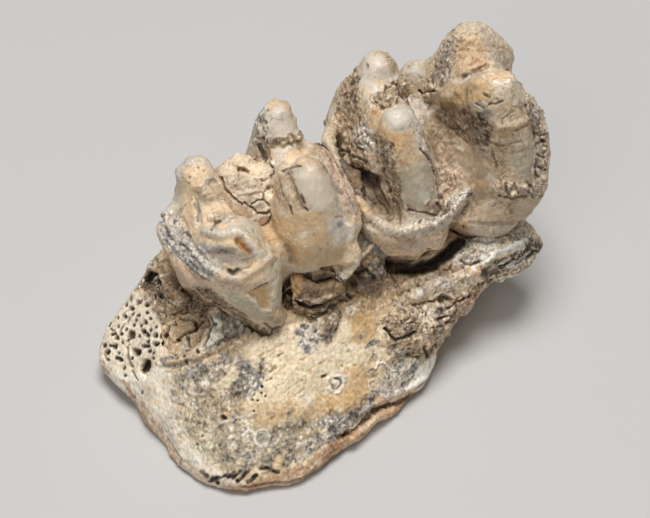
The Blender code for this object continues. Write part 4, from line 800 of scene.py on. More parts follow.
REAR_MARKS = (
    patch("cream of the far slope", (444, 76, 470, 84, 500, 100, 526, 104, 534, 130, 534, 200, 500, 208,
        486, 190, 492, 140, 480, 106, 446, 102), 6, 0, "clay", 0.7, 0.5, 0.4, 0.5),
    patch("ivory peak", (360, 62, 371, 53, 384, 62, 398, 76, 392, 84, 380, 90, 370, 104, 361, 100, 359, 84),
        3, 0, "pearl", 0.85, 0.3, 0.9, 0.1),
    oval("cream by the peak", (380, 84), (9, 8), 0, "cream", 0.75, 0.4),
    oval("cream under the peak", (366, 94), (8, 12), 0, "cream", 0.5, 0.5),
    oval("pit near the peak", (367, 66), (2.4, 4), -0.2, "umber", 0.8),
    patch("dirty flank", (330, 124, 338, 104, 342, 82, 350, 66, 359, 62, 360, 86, 364, 108, 360, 128,
        346, 136), 4, 0, "clay", 0.9, 0.5, 0, 1),
    line("dark streak on the flank", ((354, 74, 352, 84), (352, 86, 350, 98), (354, 98, 356, 106), (346, 96,
        348, 108), (360, 118, 365, 126)), 3.4, -0.15, "soot", 0.75, 0.7),
    line("rust streak on the flank", ((344, 84, 345, 94), (338, 112, 344, 120), (334, 128, 340, 136)), 2.4,
        -0.06, "rust", 0.6, 0.6),
    patch("ragged cream below the peak", (362, 104, 374, 98, 380, 108, 374, 122, 364, 122), 4, 0, "dust",
        0.7, 0.7, crust=0.8),
    patch("sediment between the peaks", (374, 98, 384, 88, 392, 82, 404, 78, 410, 90, 404, 98, 390, 108,
        376, 107), 3, 0.3, "clay", 0.9, 0.5, 0, 1),
    line("brown loop", ((386, 86, 384, 96, 390, 104), (392, 84, 398, 92, 396, 102), (376, 100, 382, 108,
        390, 107)), 2.4, -0.25, "umber", 0.85, 0.4),
    oval("pale crumb", (378, 100, 384, 97, 401, 85, 392, 92), (3.5, 3), 0.35, "dust", 0.85, 0.4),
    patch("lobe behind the front tip", (402, 100, 412, 96, 424, 100, 428, 112, 424, 124, 416, 116), 3, 0,
        "ash", 0.8, 0.5, 0.4, 0.7),
    patch("honey round the tip", (368, 112, 384, 110, 392, 128, 412, 130, 416, 142, 402, 150, 384, 142,
        370, 128), 4, 0, "dentine", 0.8, 0.4, 0.6),
    oval("brown left of the tip", (373, 114), (7, 6), 0, "ochre", 0.7, 0.5, crust=0.8),
    oval("blue below it", (373, 131), (7, 6), 0, "slate", 0.5, 0.5),
    patch("front tip", (383, 113, 391, 107, 404, 105, 414, 110, 416, 120, 408, 131, 392, 132, 384, 124), 3,
        0, "pearl", 0.95, 0, 1, 0),
    oval("orange below the tip", (396, 138), (11, 6), 0, "amber", 0.35, 0.4, 0.7),
    oval("pink spot", (406, 134, 404, 145), (5, 4), 0, "rust", 0.5, 0.4),
    line("grey right of the tip", (419, 122, 418, 138, 424, 152), 6, 0, "ash", 0.7, 0.6, crust=0.9),
    patch("cream pillar", (394, 146, 414, 144, 424, 160, 412, 170, 396, 166), 4, 0, "dentine", 0.6, 0.5,
        0.6),
    oval("orange on the pillar", (402, 162), (7, 5), 0, "amber", 0.5, 0.4),
    patch("green-grey enamel", (402, 170, 418, 162, 430, 166, 437, 184, 438, 200, 424, 208, 406, 206,
        398, 190), 4, 0, "dull", 0.85, 0.35, 0.7, 0.2),
    oval("yellow in it", (416, 178), (12, 12), 0, "bone", 0.35, 0.4, 0.8),
    oval("white in it", (424, 197), (11, 9), 0, "ash", 0.6, 0.4, 0.8),
    patch("dark strip", (376, 140, 390, 140, 396, 160, 398, 184, 404, 206, 394, 208, 386, 190, 380, 168),
        3.5, 0, "umber", 0.55, 0.7, 0.1, 1),
    oval("pale spot in the strip", (386, 150, 388, 168, 384, 178), (3, 5), 0.1, "ash", 0.7, 0.6),
    oval("black spot in the strip", (391, 190, 391, 146, 378, 142, 394, 200), (4, 4), -0.15, "soot", 0.85,
        0.5),
    line("brown crumb by the foot", ((392, 196, 397, 203), (400, 198, 396, 192), (408, 206, 416, 210)), 2.4,
        -0.1, "rust", 0.65, 0.5),
    line("crack right of the pillar", (420, 148, 430, 160, 436, 178, 439, 198), 2.2, -0.35, "soot", 0.9,
        0.3),
    # Painted shadow fills the dark groove.
    patch("dark groove", (350, 170, 362, 167, 377, 178, 379, 191, 366, 188, 353, 179), 3.5, -0.5, "pit", 1,
        0.1, 0),
    patch("pale scab", (355, 130, 364, 127, 372, 134, 375, 148, 366, 152, 356, 144), 3, 0.25, "ash", 0.9,
        0.5, 0, 1),
    patch("brown sediment below it", (334, 138, 350, 136, 364, 152, 374, 166, 364, 170, 348, 168, 338, 154),
        4, 0.2, "clay", 0.85, 0.5, 0, 1),
    line("crack in the sediment", ((346, 150, 356, 156, 366, 164), (340, 160, 350, 168), (356, 142,
        362, 150)), 2, -0.25, "umber", 0.85, 0.4),
    # The trough's dark brown is painted shade.
    patch("trough", (366, 184, 376, 184, 386, 200, 400, 214, 406, 222, 392, 220, 376, 208), 5, 0, "mud",
        0.85, 0.4, 0.2, 0.6),
    line("line in the trough", ((372, 188, 378, 200, 390, 214), (380, 188, 388, 204), (398, 214, 401, 224)),
        2, -0.12, "umber", 0.7, 0.4),
    line("tan rim", (352, 190, 362, 206, 374, 218), 7, 0, "honey", 0.8, 0.4, 0.3, 0.6),
    line("cream rim", (372, 218, 384, 227, 402, 232), 6, 0, "ivory", 0.9, 0.3, 0.4, 0.4),
    line("crusted rim", (404, 230, 420, 224, 438, 220, 452, 212), 7, 0.15, "pearl", 0.85, 0.45, 0.2, 1),
    line("chips on the rim", (444, 206, 456, 198, 470, 190), 8, 0.35, "chalk", 0.85, 0.5, 0, 1),
    patch("brown crumbs by the rim", (426, 202, 436, 198, 448, 204, 446, 212, 430, 214), 3, 0.25, "clay",
        0.9, 0.4, 0, 1),
    line("crack above the rim", ((408, 210, 424, 213, 440, 216), (436, 202, 440, 210), (444, 214,
        450, 210)), 2, -0.3, "umber", 0.9, 0.3),
    patch("collar", (372, 234, 384, 238, 404, 242, 432, 236, 458, 222, 470, 212, 468, 232, 446, 256,
        414, 266, 392, 260, 378, 246), 3, 0, "honey", 0.85, 0.25, 0.5, 0.25),
    patch("pink of the collar", (380, 238, 404, 243, 432, 238, 446, 232, 432, 244, 404, 250, 386, 248), 5,
        0, "rose", 0.7, 0.5, 0.5),
    # A painted highlight on the collar's belly.
    oval("pale belly of the collar", (418, 246), (18, 7, -15), 0, "ash", 0.45, 0.5, 0.7),
    line("brown fleck on the collar", ((402, 236, 410, 240), (443, 236, 447, 232), (392, 234, 396, 238)),
        1.8, -0.06, "rust", 0.7, 0.3),
    line("shaded end of the collar", (456, 216, 468, 208, 478, 214), 8, 0, "mud", 0.7, 0.5, crust=0.8),
    oval("pinhole", (463, 227, 429, 250), 2.8, -0.35, "pit", 0.95),
    oval("grey knob", (414, 74), (17, 15), 0, "ash", 0.8, 0.2, 0.5, 0.2),
    oval("pink of the knob", (410, 76), (12, 8), 0, "rose", 0.4, 0.4),
    line("hole between the peaks", (419, 91, 426, 92, 434, 91), 3, -0.5, "pit", 0.95, 0.3),
    patch("flakes by the far peak", (426, 90, 430, 78, 438, 72, 444, 80, 440, 90, 430, 98), 3, 0.3, "dust",
        0.85, 0.5, 0, 1),
    patch("far peak's skin", (434, 62, 446, 38, 470, 20, 490, 24, 514, 46, 522, 66, 506, 66, 488, 64,
        468, 76, 448, 88, 436, 80), 4, 0, "dust", 0.85, 0.4, 0.3, 0.7),
    line("cream top of the far peak", (462, 27, 476, 24, 490, 28, 502, 38), 6, 0, "dust", 0.7, 0.5),
    patch("tan cheek of the far peak", (458, 32, 474, 34, 484, 46, 484, 62, 468, 72, 454, 78, 452, 60,
        456, 44), 5, 0, "ochre", 0.6, 0.5, 0.3, 0.6),
    line("rust ripple", ((460, 34, 466, 31, 472, 34), (458, 43, 464, 40), (468, 44, 480, 50, 492, 52),
        (472, 58, 482, 62), (456, 52, 468, 50), (494, 46, 506, 50), (470, 64, 478, 60)), 2.2, -0.1, "rust",
        0.6, 0.5),
    patch("grey flank of the far peak", (434, 66, 444, 46, 454, 32, 460, 34, 454, 48, 452, 64, 446, 80,
        436, 82), 3.5, 0, "slate", 0.7, 0.7, 0, 1),
    oval("grey patch on the far peak", (484, 34, 508, 62, 518, 74, 498, 60), (6, 4), 0, "slate", 0.6, 0.7),
    line("crevice", (462, 78, 472, 72, 487, 66), 3.4, -0.15, "umber", 0.7, 0.5),
    oval("rust in the crevice", (482, 68), (6, 3, -30), -0.2, "rust", 0.7, 0.3),
    patch("worn face of the rear cusp", (487, 70, 499, 66, 512, 71, 512, 81, 500, 86, 488, 82), 2.5, 0,
        "peach", 0.7, 0.2, 0.5, 0.2),
    line("white edge of the worn face", (494, 82, 501, 85, 508, 81), 2.6, 0.1, "chalk", 0.8, 0.2),
    patch("tan ridge", (444, 100, 452, 88, 470, 80, 486, 78, 492, 90, 478, 98, 460, 102), 4, 0, "dentine",
        0.7, 0.4, 0.5, 0.3),
    line("orange under the ridge", (446, 102, 464, 100, 486, 98), 5, 0, "ochre", 0.6, 0.6),
    line("black streak", ((484, 94, 490, 98), (490, 104, 496, 104, 502, 101), (476, 104, 484, 108)), 2.4,
        -0.15, "soot", 0.85, 0.4),
    oval("violet patch", (486, 113), (12, 9, 20), 0, "slate", 0.8, 0.5, crust=0.8),
    # The dark valley is stain and painted shade together.
    patch("dark valley", DARK_VALLEY, 4, 0, "umber", 0.7, 0.6, 0, 0.7),
    line("black specks of the valley", (466, 114, 478, 122, 486, 134, 480, 144), 8, 0, "soot", 0.75, 0.9,
        crust=1),
    oval("pale crumb in the valley", (471, 116, 480, 110, 446, 118, 466, 126, 448, 140), (3.5, 3), 0.15,
        "ash", 0.75, 0.5),
    # The hollow's brown is painted shade.
    patch("hollow", (428, 108, 444, 120, 456, 138, 462, 150, 456, 164, 444, 170, 434, 160, 426, 136), 5, 0,
        "mud", 0.85, 0.5, 0.2, 0.7),
    line("ripple in the hollow", ((436, 116, 452, 130, 466, 142), (434, 132, 446, 146), (450, 128,
        464, 132), (444, 108, 460, 122)), 2.2, -0.15, "umber", 0.7, 0.5),
    patch("enamel in the hollow", (456, 152, 470, 146, 484, 156, 490, 176, 494, 198, 484, 202, 470, 186,
        458, 170), 5, 0, "mud", 0.75, 0.4, 0.6, 0.3),
    oval("yellow of it", (467, 160), (11, 11), 0, "bone", 0.2, 0.4, 0.8),
    oval("orange of it", (480, 184), (12, 12), 0, "ochre", 0.45, 0.5),
    patch("crust left of the belly", (432, 166, 446, 162, 460, 172, 464, 186, 450, 194, 436, 190), 4, 0.2,
        "rose", 0.85, 0.5, 0, 1),
    line("dark line by the belly", ((492, 150, 498, 170), (488, 140, 498, 146), (440, 184, 452, 180),
        (440, 196, 448, 190)), 2.4, -0.15, "umber", 0.8, 0.6),
    line("ripple on the cheek", ((500, 131, 514, 130, 530, 124), (500, 138, 512, 135), (498, 146, 512, 144,
        522, 142), (504, 118, 512, 112), (512, 154, 524, 150), (500, 176, 508, 170)), 2, -0.15, "ochre",
        0.75, 0.5),
    patch("yellow-grey cheek", (514, 142, 530, 136, 536, 156, 532, 176, 518, 178, 510, 160), 5, 0, "dull",
        0.7, 0.5, 0.5, 0.5),
    oval("brown cheek", (502, 156), (10, 14), 0, "mud", 0.5, 0.7),
    line("rim of the rear ridge", (530, 98, 540, 122, 546, 152, 543, 182, 534, 204), 6.5, 0, "dust", 0.85,
        0.4, 0.1, 1),
    line("dark top of the rim", (532, 108, 538, 120, 542, 132), 6, 0, "slate", 0.85, 0.6, crust=1),
    line("gap in the rim", ((536, 134, 544, 134), (538, 143, 546, 142), (538, 154, 543, 158), (537, 166,
        546, 170), (537, 174, 539, 180), (540, 184, 546, 178), (530, 188, 534, 198)), 2.6, -0.35, "umber",
        0.9, 0.4),
    line("dark line inside the rim", (526, 106, 534, 128, 537, 156, 535, 184), 2.6, -0.25, "soot", 0.8,
        0.7),
    line("crumbs at the foot", (500, 186, 514, 190, 530, 186, 542, 182), 9, 0.35, "dust", 0.8, 0.6, 0, 1),
    line("gap among the crumbs", ((500, 196, 512, 199, 526, 196), (514, 184, 517, 192), (527, 182,
        531, 192), (506, 186, 509, 194), (510, 205, 511, 213)), 2.6, -0.3, "pit", 0.85, 0.5),
    patch("foot of the crown", (474, 204, 500, 202, 530, 198, 542, 200, 530, 216, 506, 224, 480, 222), 3.5,
        0, "clay", 0.85, 0.3, 0.5, 0.4),
    oval("pale foot", (487, 206, 524, 204, 500, 212), (9, 6), 0, "dust", 0.6, 0.6),
    line("shade under the crown", (470, 222, 494, 225, 520, 222), 4, -0.1, "mud", 0.8, 0.3),
    line("shade under the collar", (398, 270, 414, 273, 434, 268, 450, 256, 464, 242), 6, 0, "pit", 0.9,
        0.2, 0),
    oval("shade on the far peak", (467, 50), (16, 13), 0, "mud", 0.3, 0.5),
    oval("tan of the worn face", (499, 76), (12, 9), 0, "ochre", 0.4, 0.4, 0.5),
    oval("shade on the collar", (408, 245), (30, 9, -5), 0, "mud", 0.35, 0.4, 0.5),
)

# The lumps of sediment
VALLEY_MARKS = (
    patch("upper face", (218, 162, 230, 158, 250, 148, 262, 158, 268, 170, 262, 174, 240, 173, 224, 172), 4,
        -0.2, "bone", 0.7, 0.3),
    patch("film below the crack", (212, 176, 220, 180, 226, 194, 240, 206, 250, 214, 240, 226, 220, 218,
        206, 200), 3, 0, "clay", 0.75, 0.3),
    oval("cream by the slit", (258, 166), (10, 6), 0, "bone", 0.6, 0.4),
    line("slit", (237, 168, 243, 169, 248, 170), 3, -0.6, "rust", 0.95, 0.2),
    line("second slit", (254, 155, 258, 159), 2, -0.3, "umber", 0.8, 0.3),
    line("crack on the left", (221, 178, 225, 188, 234, 198, 242, 204), 2.4, -0.4, "umber", 0.8, 0.3),
    line("outline of the lower block", ((245, 202, 252, 208, 258, 213, 268, 214, 274, 210), (252, 204,
        258, 200, 264, 200, 272, 208), (264, 200, 264, 194)), 2, -0.35, "umber", 0.8, 0.3),
    line("shaded edge", (272, 176, 277, 188, 276, 200, 273, 210), 4, -0.2, "soot", 0.7, 0.5),
    line("fold", ((232, 186, 246, 180), (240, 194, 258, 190), (250, 184, 264, 184), (262, 190, 268, 182)),
        3, 0.2, "dust", 0.6, 0.3),
)

INTERDENTAL_MARKS = (
    patch("grey crust", (352, 228, 366, 224, 377, 234, 374, 244, 362, 256, 350, 250), 4, 0.1, "olive", 0.8,
        0.4),
    line("bright edge", (366, 225, 376, 236, 372, 246, 362, 256), 3, 0.2, "dust", 0.7, 0.4),
    patch("dark face", (345, 258, 356, 256, 362, 266, 354, 274, 346, 272), 3, -0.4, "umber", 0.75, 0.2),
    patch("second dark face", (346, 276, 362, 272, 366, 282, 354, 290, 346, 288), 3, -0.3, "mud", 0.8, 0.2),
    # Painted shade in the dark clefts.
    line("dark cleft", ((354, 274, 364, 270, 374, 278), (346, 292, 358, 294)), 4, -0.4, "pit", 0.8, 0.3),
)

ROOT_GAP_MARKS = (
    # The deep gap and its roof are painted shadow.
    line("deep gap", (285, 270, 286, 284, 288, 300, 288, 314), 7, -0.9, "pit"),
    line("roof of the gap", (286, 270, 296, 268, 306, 274), 5, -0.6, "pit", 0.9),
    patch("slab's face", (298, 284, 320, 282, 342, 276, 346, 292, 326, 300, 302, 306), 3, 0.2, "mud", 0.8,
        0.3),
    patch("tan pillar", (292, 276, 304, 274, 302, 290, 294, 304, 290, 296), 2.5, 0.2, "ochre", 0.5, 0.3),
    line("crack under the slab", (296, 302, 310, 308, 322, 306, 334, 300, 346, 294), 3.4, -0.7, "pit", 0.95,
        0.2),
    line("crack over the slab", (308, 276, 318, 282, 332, 278), 2.8, -0.6, "pit", 0.95, 0.2),
    line("sliver", (312, 272, 324, 270, 332, 272), 5, 0.4, "clay", 0.8, 0.3),
    line("pale edge", (298, 302, 304, 298, 316, 300, 330, 294), 3, 0.2, "dust", 0.8, 0.4),
)

SOCKET_MARKS = (
    patch("plate", ((174, 328, 182, 322, 192, 324, 194, 332, 184, 340, 174, 336), (200, 322, 208, 320,
        210, 332, 204, 336, 198, 330), (190, 338, 200, 334, 206, 340, 200, 346, 190, 346)), 2, 0.35, "clay",
        0.8, 0.3),
    line("crack", ((166, 336, 170, 324, 180, 318, 194, 320), (178, 341, 186, 335, 196, 330, 204, 322),
        (170, 320, 176, 326), (190, 346, 188, 338), (194, 320, 198, 328)), 2.6, -0.5, "pit", 0.9, 0.3),
    patch("flake", (184, 317, 196, 311, 208, 310, 206, 315, 194, 319), 1.8, 0.4, "dust", 0.8, 0.2),
    oval("dark corner", (172, 321), (7, 5), -0.4, "umber", 0.85, 0.3),
)

# Each lump's colours, how crumbly it is, the pieces that it fills the space between, and its marks.
Lump = namedtuple("Lump", "base second crumbs neighbours marks")
LUMPS = {
    "valley_matrix": Lump("dust", "rose", 0.3, ("front_molar",), VALLEY_MARKS),
    "interdental_matrix": Lump("mud", "slate", 0.8, ("front_molar", "rear_molar", "jaw_bone"),
                               INTERDENTAL_MARKS),
    "root_gap_matrix": Lump("mud", "clay", 0.7, ("front_molar", "jaw_bone"), ROOT_GAP_MARKS),
    "socket_matrix": Lump("dust", "ochre", 0.5, ("jaw_bone",), SOCKET_MARKS),
}

# Specks of several sizes: a size in millimetres, the share that they cover, a colour and an amount.
STAIN_SPECKS = ((1.2, 0.3, "slate", 0.6), (0.5, 0.3, "soot", 0.85), (0.34, 0.25, "umber", 0.8))
PALE_SPECKS = ((1.6, 0.3, "bone", 0.7), (0.5, 0.3, "chalk", 0.8), (0.32, 0.15, "umber", 0.7))
ROUGH_SPECKS = ((1.3, 0.3, "rose", 0.6), (0.7, 0.25, "dust", 0.6), (0.6, 0.08, "slate", 0.5),
                (0.4, 0.12, "umber", 0.7))
TOOTH_SPECKS = ((1.0, 0.2, "rose", 0.6), (0.5, 0.14, "dust", 0.6), (0.4, 0.12, "umber", 0.6))


class Skin:
    """A fine copy of a solid's surface, kept as arrays while it is shaped and painted."""

    def __init__(self, node, voxel, cuts, soften):
        self.node = node
        self.picture = Picture(settings()[0])
        self.mesh = self.remesh(voxel, soften)
        solids = solid_tree(NODES)
        self.refine(cuts, solids)
        self.count = len(self.mesh.vertices)
        self.every = np.ones(self.count)
        self.edges = self.read("edges", "vertices", 2, np.int32)
        self.degree = np.bincount(self.edges.ravel(), minlength=self.count).astype(float)
        self.points = self.read("vertices", "co", 3) / MM
        for _ in range(3):
            self.points += self.mean(1) - self.points
        self.open_sky = self.spread(self.picture.clear(self.points, solids), 2)
        self.look()
        self.colour = np.zeros((self.count, 3))
        self.gloss = 0.0 * self.every
        self.crust = 0.5 * self.every

    def remesh(self, voxel, soften):
        """Merges the solid's loose triangles, skins them on a grid and softens the facets."""
        bm = bmesh.new()
        bm.from_mesh(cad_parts[self.node].data)
        bmesh.ops.remove_doubles(bm, verts=bm.verts, dist=MERGE_METRES)
        mesh = bpy.data.meshes.new(self.node + "_skin")
        bm.to_mesh(mesh)
        bm.free()
        obj = bpy.data.objects.new(self.node + "_skin", mesh)
        bpy.context.scene.collection.objects.link(obj)
        remesh = obj.modifiers.new("grid", "REMESH")
        remesh.mode = "VOXEL"
        remesh.voxel_size = voxel
        smooth = obj.modifiers.new("soften", "SMOOTH")
        smooth.factor = 0.5
        smooth.iterations = soften
        graph = bpy.context.evaluated_depsgraph_get()
        made = bpy.data.meshes.new_from_object(obj.evaluated_get(graph))
        bpy.data.objects.remove(obj)
        bpy.data.meshes.remove(mesh)
        return made

    def refine(self, cuts, solids):
        """Divides the faces that the camera sees, so that they can hold fine relief."""
        bm = bmesh.new()
        bm.from_mesh(self.mesh)
        centres = np.array([f.calc_center_median() for f in bm.faces]) / MM
        normals = np.array([f.normal for f in bm.faces])
        plain = self.picture.facing(centres, normals) > TURNED_AWAY
        ahead = np.nonzero(plain)[0]
        plain[ahead] = self.picture.clear(centres[ahead], solids) > 0.5
        bm.faces.ensure_lookup_table()
        seen = {edge for k in np.nonzero(plain)[0] for edge in bm.faces[k].edges}
        bmesh.ops.subdivide_edges(bm, edges=list(seen), cuts=cuts, use_grid_fill=True)
        bmesh.ops.triangulate(bm, faces=[f for f in bm.faces if len(f.verts) > 4])
        bm.to_mesh(self.mesh)
        bm.free()

    def read(self, group, name, width, kind=np.float64):
        data = getattr(self.mesh, group)
        values = np.empty(len(data) * width, dtype=kind)
        data.foreach_get(name, values)
        return values.reshape(-1, width)

    def look(self):
        """Works out the normals, the pixels and what the camera sees, after a change of shape."""
        self.mesh.vertices.foreach_set("co", (self.points * MM).ravel())
        self.mesh.update()
        self.normals = self.read("vertex_normals", "vector", 3)
        self.x, self.y = self.picture.pixels(self.points)
        self.x += WOBBLE * waves(self.points / WOBBLE_LENGTH, 71)
        self.y += WOBBLE * waves(self.points / WOBBLE_LENGTH, 73)
        turned = smoothstep(-0.2, 0.04, self.picture.facing(self.points, self.normals))
        self.seen = turned * self.open_sky

    def spread(self, values, times):
        """Averages a value with that of its neighbours, so many times."""
        for _ in range(times):
            a, b = self.edges.T
            total = np.bincount(a, values[b], self.count) + np.bincount(b, values[a], self.count)
            values = 0.5 * values + 0.5 * total / self.degree
        return values

    def mean(self, times):
        """The points, each averaged with its neighbours so many times."""
        return np.stack([self.spread(self.points[:, k], times) for k in range(3)], axis=1)

    def even(self, weight, times):
        """Evens out the part of the surface that a pull has stretched."""
        for _ in range(times):
            self.points += (self.mean(1) - self.points) * 1.6 * weight[:, None]

    def push(self, weight, height):
        self.points += self.normals * (weight * height)[:, None]

    def drag(self, pulls):
        """Moves whole parts across the picture, seen or not: a place, a radius and a way, all in pixels."""
        for place, radius, (right, down) in pulls:
            far = np.hypot(self.x - place[0], self.y - place[1]) / radius
            weight = (1.0 - smoothstep(0.0, 1.0, far)) * MM_PER_PIXEL
            self.points += weight[:, None] * (self.picture.right * right - self.picture.up * down)
            self.look()

    def paint(self, weight, colour, amount=1.0):
        shade = np.array(getattr(settings()[2], colour))
        self.colour += (shade - self.colour) * np.clip(weight * amount, 0.0, 1.0)[:, None]

    def noise(self, size, octaves, seed):
        return fractal(self.points, size, octaves, seed)

    def share(self, noise, part, soft=0.12):
        """The highest part of a noise, as a mask with a soft edge."""
        edge = np.quantile(noise, 1.0 - part)
        return smoothstep(edge - soft, edge + soft, noise)

    def oval(self, place, size):
        rx, ry, turn = (*size, 0.0)[:3] if isinstance(size, tuple) else (size, size, 0.0)
        c, s = math.cos(math.radians(turn)), math.sin(math.radians(turn))
        dx, dy = self.x - place[0], self.y - place[1]
        far = ((dx * c + dy * s) / rx) ** 2 + ((dy * c - dx * s) / ry) ** 2
        return np.clip(1.0 - far, 0.0, 1.0) ** 2

    def reach(self, places):
        """The distance of each point, in pixels, from a row of joined places."""
        best = np.full(self.count, FAR)
        for (ax, ay), (bx, by) in zip(places, places[1:]):
            ux, uy = bx - ax, by - ay
            t = np.clip(((self.x - ax) * ux + (self.y - ay) * uy) / (ux * ux + uy * uy + TINY), 0.0, 1.0)
            best = np.minimum(best, (self.x - ax - t * ux) ** 2 + (self.y - ay - t * uy) ** 2)
        return np.sqrt(best)

    def line(self, places, width):
        return np.clip(1.0 - (self.reach(places) / width) ** 2, 0.0, 1.0) ** 2

    def patch(self, places, edge):
        inside = np.zeros(self.count, bool)
        for (ax, ay), (bx, by) in zip(places, places[1:] + places[:1]):
            crosses = (ay > self.y) != (by > self.y)
            inside ^= crosses & (self.x < (bx - ax) * (self.y - ay) / (by - ay + TINY) + ax)
        far = self.reach(places + places[:1])
        return smoothstep(-1.8 * edge, 1.8 * edge, np.where(inside, far, -far))

    def ring(self, place, size):
        radius, width = size
        far = np.hypot(self.x - place[0], self.y - place[1])
        return np.clip(1.0 - ((far - radius) / width) ** 2, 0.0, 1.0) ** 2

    def weight(self, mark):
        return getattr(self, mark.kind)(mark.places, mark.size) * self.seen

    def apply(self, groups, seed):
        """Shapes and paints marks in order. The rag of a mark frays its edge and thins its paint."""
        fray, thin = self.noise(1.1, 5, seed), self.noise(0.55, 3, seed + 1)
        for mark in itertools.chain(*groups):
            w = self.weight(mark)
            if mark.rag:
                w = smoothstep(0.15, 0.75, w + 1.3 * mark.rag * fray * (w > 0.02))
                w *= 1.0 - 0.75 * mark.rag * smoothstep(-0.3, 0.7, thin)
            if mark.height:
                self.push(w, mark.height)
            if mark.colour:
                self.paint(w, mark.colour, mark.amount)
            if mark.gloss is not None:
                self.gloss += (mark.gloss - self.gloss) * w
            crust = 0.3 if mark.crust is None and mark.colour == "pit" else mark.crust
            if crust is not None:
                self.crust += (crust - self.crust) * w

    def meet(self, others, reach, overlap, weight=1.0):
        """Draws the skin up to its neighbours within reach, and evens out the part that it stretches."""
        tree = solid_tree(others)
        weight = np.broadcast_to(weight, self.count)
        pulls = np.zeros(self.count)
        for k in np.nonzero(weight > 0.01)[0]:
            point = self.points[k]
            near, _, _, far = tree.find_nearest(Vector(point), reach)
            if near is not None:
                pulls[k] = smoothstep(reach, reach * 0.45, far) * weight[k]
                self.points[k] += (np.array(near) - point) / max(far, 1e-6) * (far + overlap) * pulls[k]
        pulls = self.spread(pulls, 3)
        self.even(4.0 * pulls * (1.0 - pulls), 12)

    def speckle(self, weight, colour, size, part, seed, amount=0.8, soft=0.08):
        """Irregular specks that cover this part of the surface."""
        self.paint(self.share(self.noise(size, 3, seed), part, soft) * weight, colour, amount)

    def specks(self, weight, rows, first, step, soft):
        """Specks of several sizes, whose seeds go on from the first by their size."""
        for size, part, colour, amount in rows:
            self.speckle(weight, colour, size, part, first + round(step * size), amount, soft)

    def dirt(self, soot_share, seed):
        """Black and brown specks where crust lies on a tooth: how dirty each point is, and how crusty."""
        dirty = self.crust * (1.0 - self.gloss * 0.5) * (0.7 + 0.3 * self.seen)
        self.speckle(smoothstep(0.5, 0.9, dirty), "soot", 0.45, soot_share, seed, 0.7)
        self.speckle(smoothstep(0.4, 0.8, dirty), "umber", 0.8, 0.2, seed + 1, 0.4)
        return dirty, smoothstep(0.45, 0.85, dirty)

    def bent(self, size, bend, wobble, seed):
        """The points moved about, so that a pattern drawn by them has bent borders."""
        moves = np.stack([self.noise(bend, 2, seed + k) for k in (31, 37, 41)], axis=1)
        return self.points + moves * size * wobble

    def crackle(self, weight, size, width, depth, colour, seed, amount=0.7, part=0.5):
        """Cracks between plates, over part of the surface."""
        first, second, _ = cells(self.bent(size, size * 1.3, 0.3, seed), size, seed)
        open_part = self.share(self.noise(size * 1.5, 2, seed + 3), part, 0.15)
        crack = (1.0 - smoothstep(0.0, width, second - first)) * weight * open_part
        self.push(crack, -depth)
        self.paint(crack, colour, amount)

    def veins(self, weight, size, width, depth, colour, seed, amount=0.5, part=0.5):
        """Fine wandering lines, over part of the surface."""
        open_part = self.share(self.noise(size, 2, seed + 3), part, 0.2)
        vein = (1.0 - smoothstep(0.0, width, np.abs(self.noise(size, 3, seed)))) * weight * open_part
        self.push(vein, -depth)
        self.paint(vein, colour, amount)

    def crumble(self, weight, size, height, seed, tone=0.15):
        """Angular crumbs, each with a tone of its own."""
        best, numbers = facets(self.bent(size, size * 0.8, 0.25, seed), size, seed)
        self.push(best * weight, height)
        self.colour *= 1.0 + tone * (numbers[:, 2] * weight)[:, None]

    def grain(self, weight, size, depth, contrast, seed):
        """Fine roughness, whose hollows are dark and whose humps are pale."""
        rough = self.noise(size, 3, seed) * weight
        self.push(rough, depth)
        self.colour *= np.clip(1.0 + contrast * rough, 0.35, 1.7)[:, None]

    def pores(self, weight, size, chance, radius, depth, colour, seed, amount=0.85):
        """Scattered holes: chance of one per cell, with a radius as a share of the cell's size."""
        first, _, numbers = cells(self.bent(size, size * 1.3, 0.15, seed), size, seed)
        wide = radius * (0.55 + 0.45 * np.abs(numbers[:, 1]))
        hole = (1.0 - smoothstep(wide * 0.45, wide, first)) * (numbers[:, 0] > 1.0 - 2.0 * chance) * weight
        self.push(hole, -depth)
        self.paint(hole, colour, amount)

    def age(self, amount):
        """Painted shade in the hollows and a painted highlight on the edges."""
        self.look()
        hollow = ((self.mean(5) - self.points) * self.normals).sum(axis=1)
        self.paint(smoothstep(0.1 * DEEP_HOLLOW, DEEP_HOLLOW, hollow), "umber", amount)
        self.colour *= 1.0 + 0.18 * smoothstep(0.0, DEEP_HOLLOW, -hollow)[:, None]

    def near(self, others, reach):
        """How close each point lies to its neighbours, from 1 where they touch to 0 at reach."""
        tree = solid_tree(others)
        found = (tree.find_nearest(Vector(point), reach) for point in self.points)
        return np.array([0.0 if near is None else 1.0 - far / reach for near, _, _, far in found])

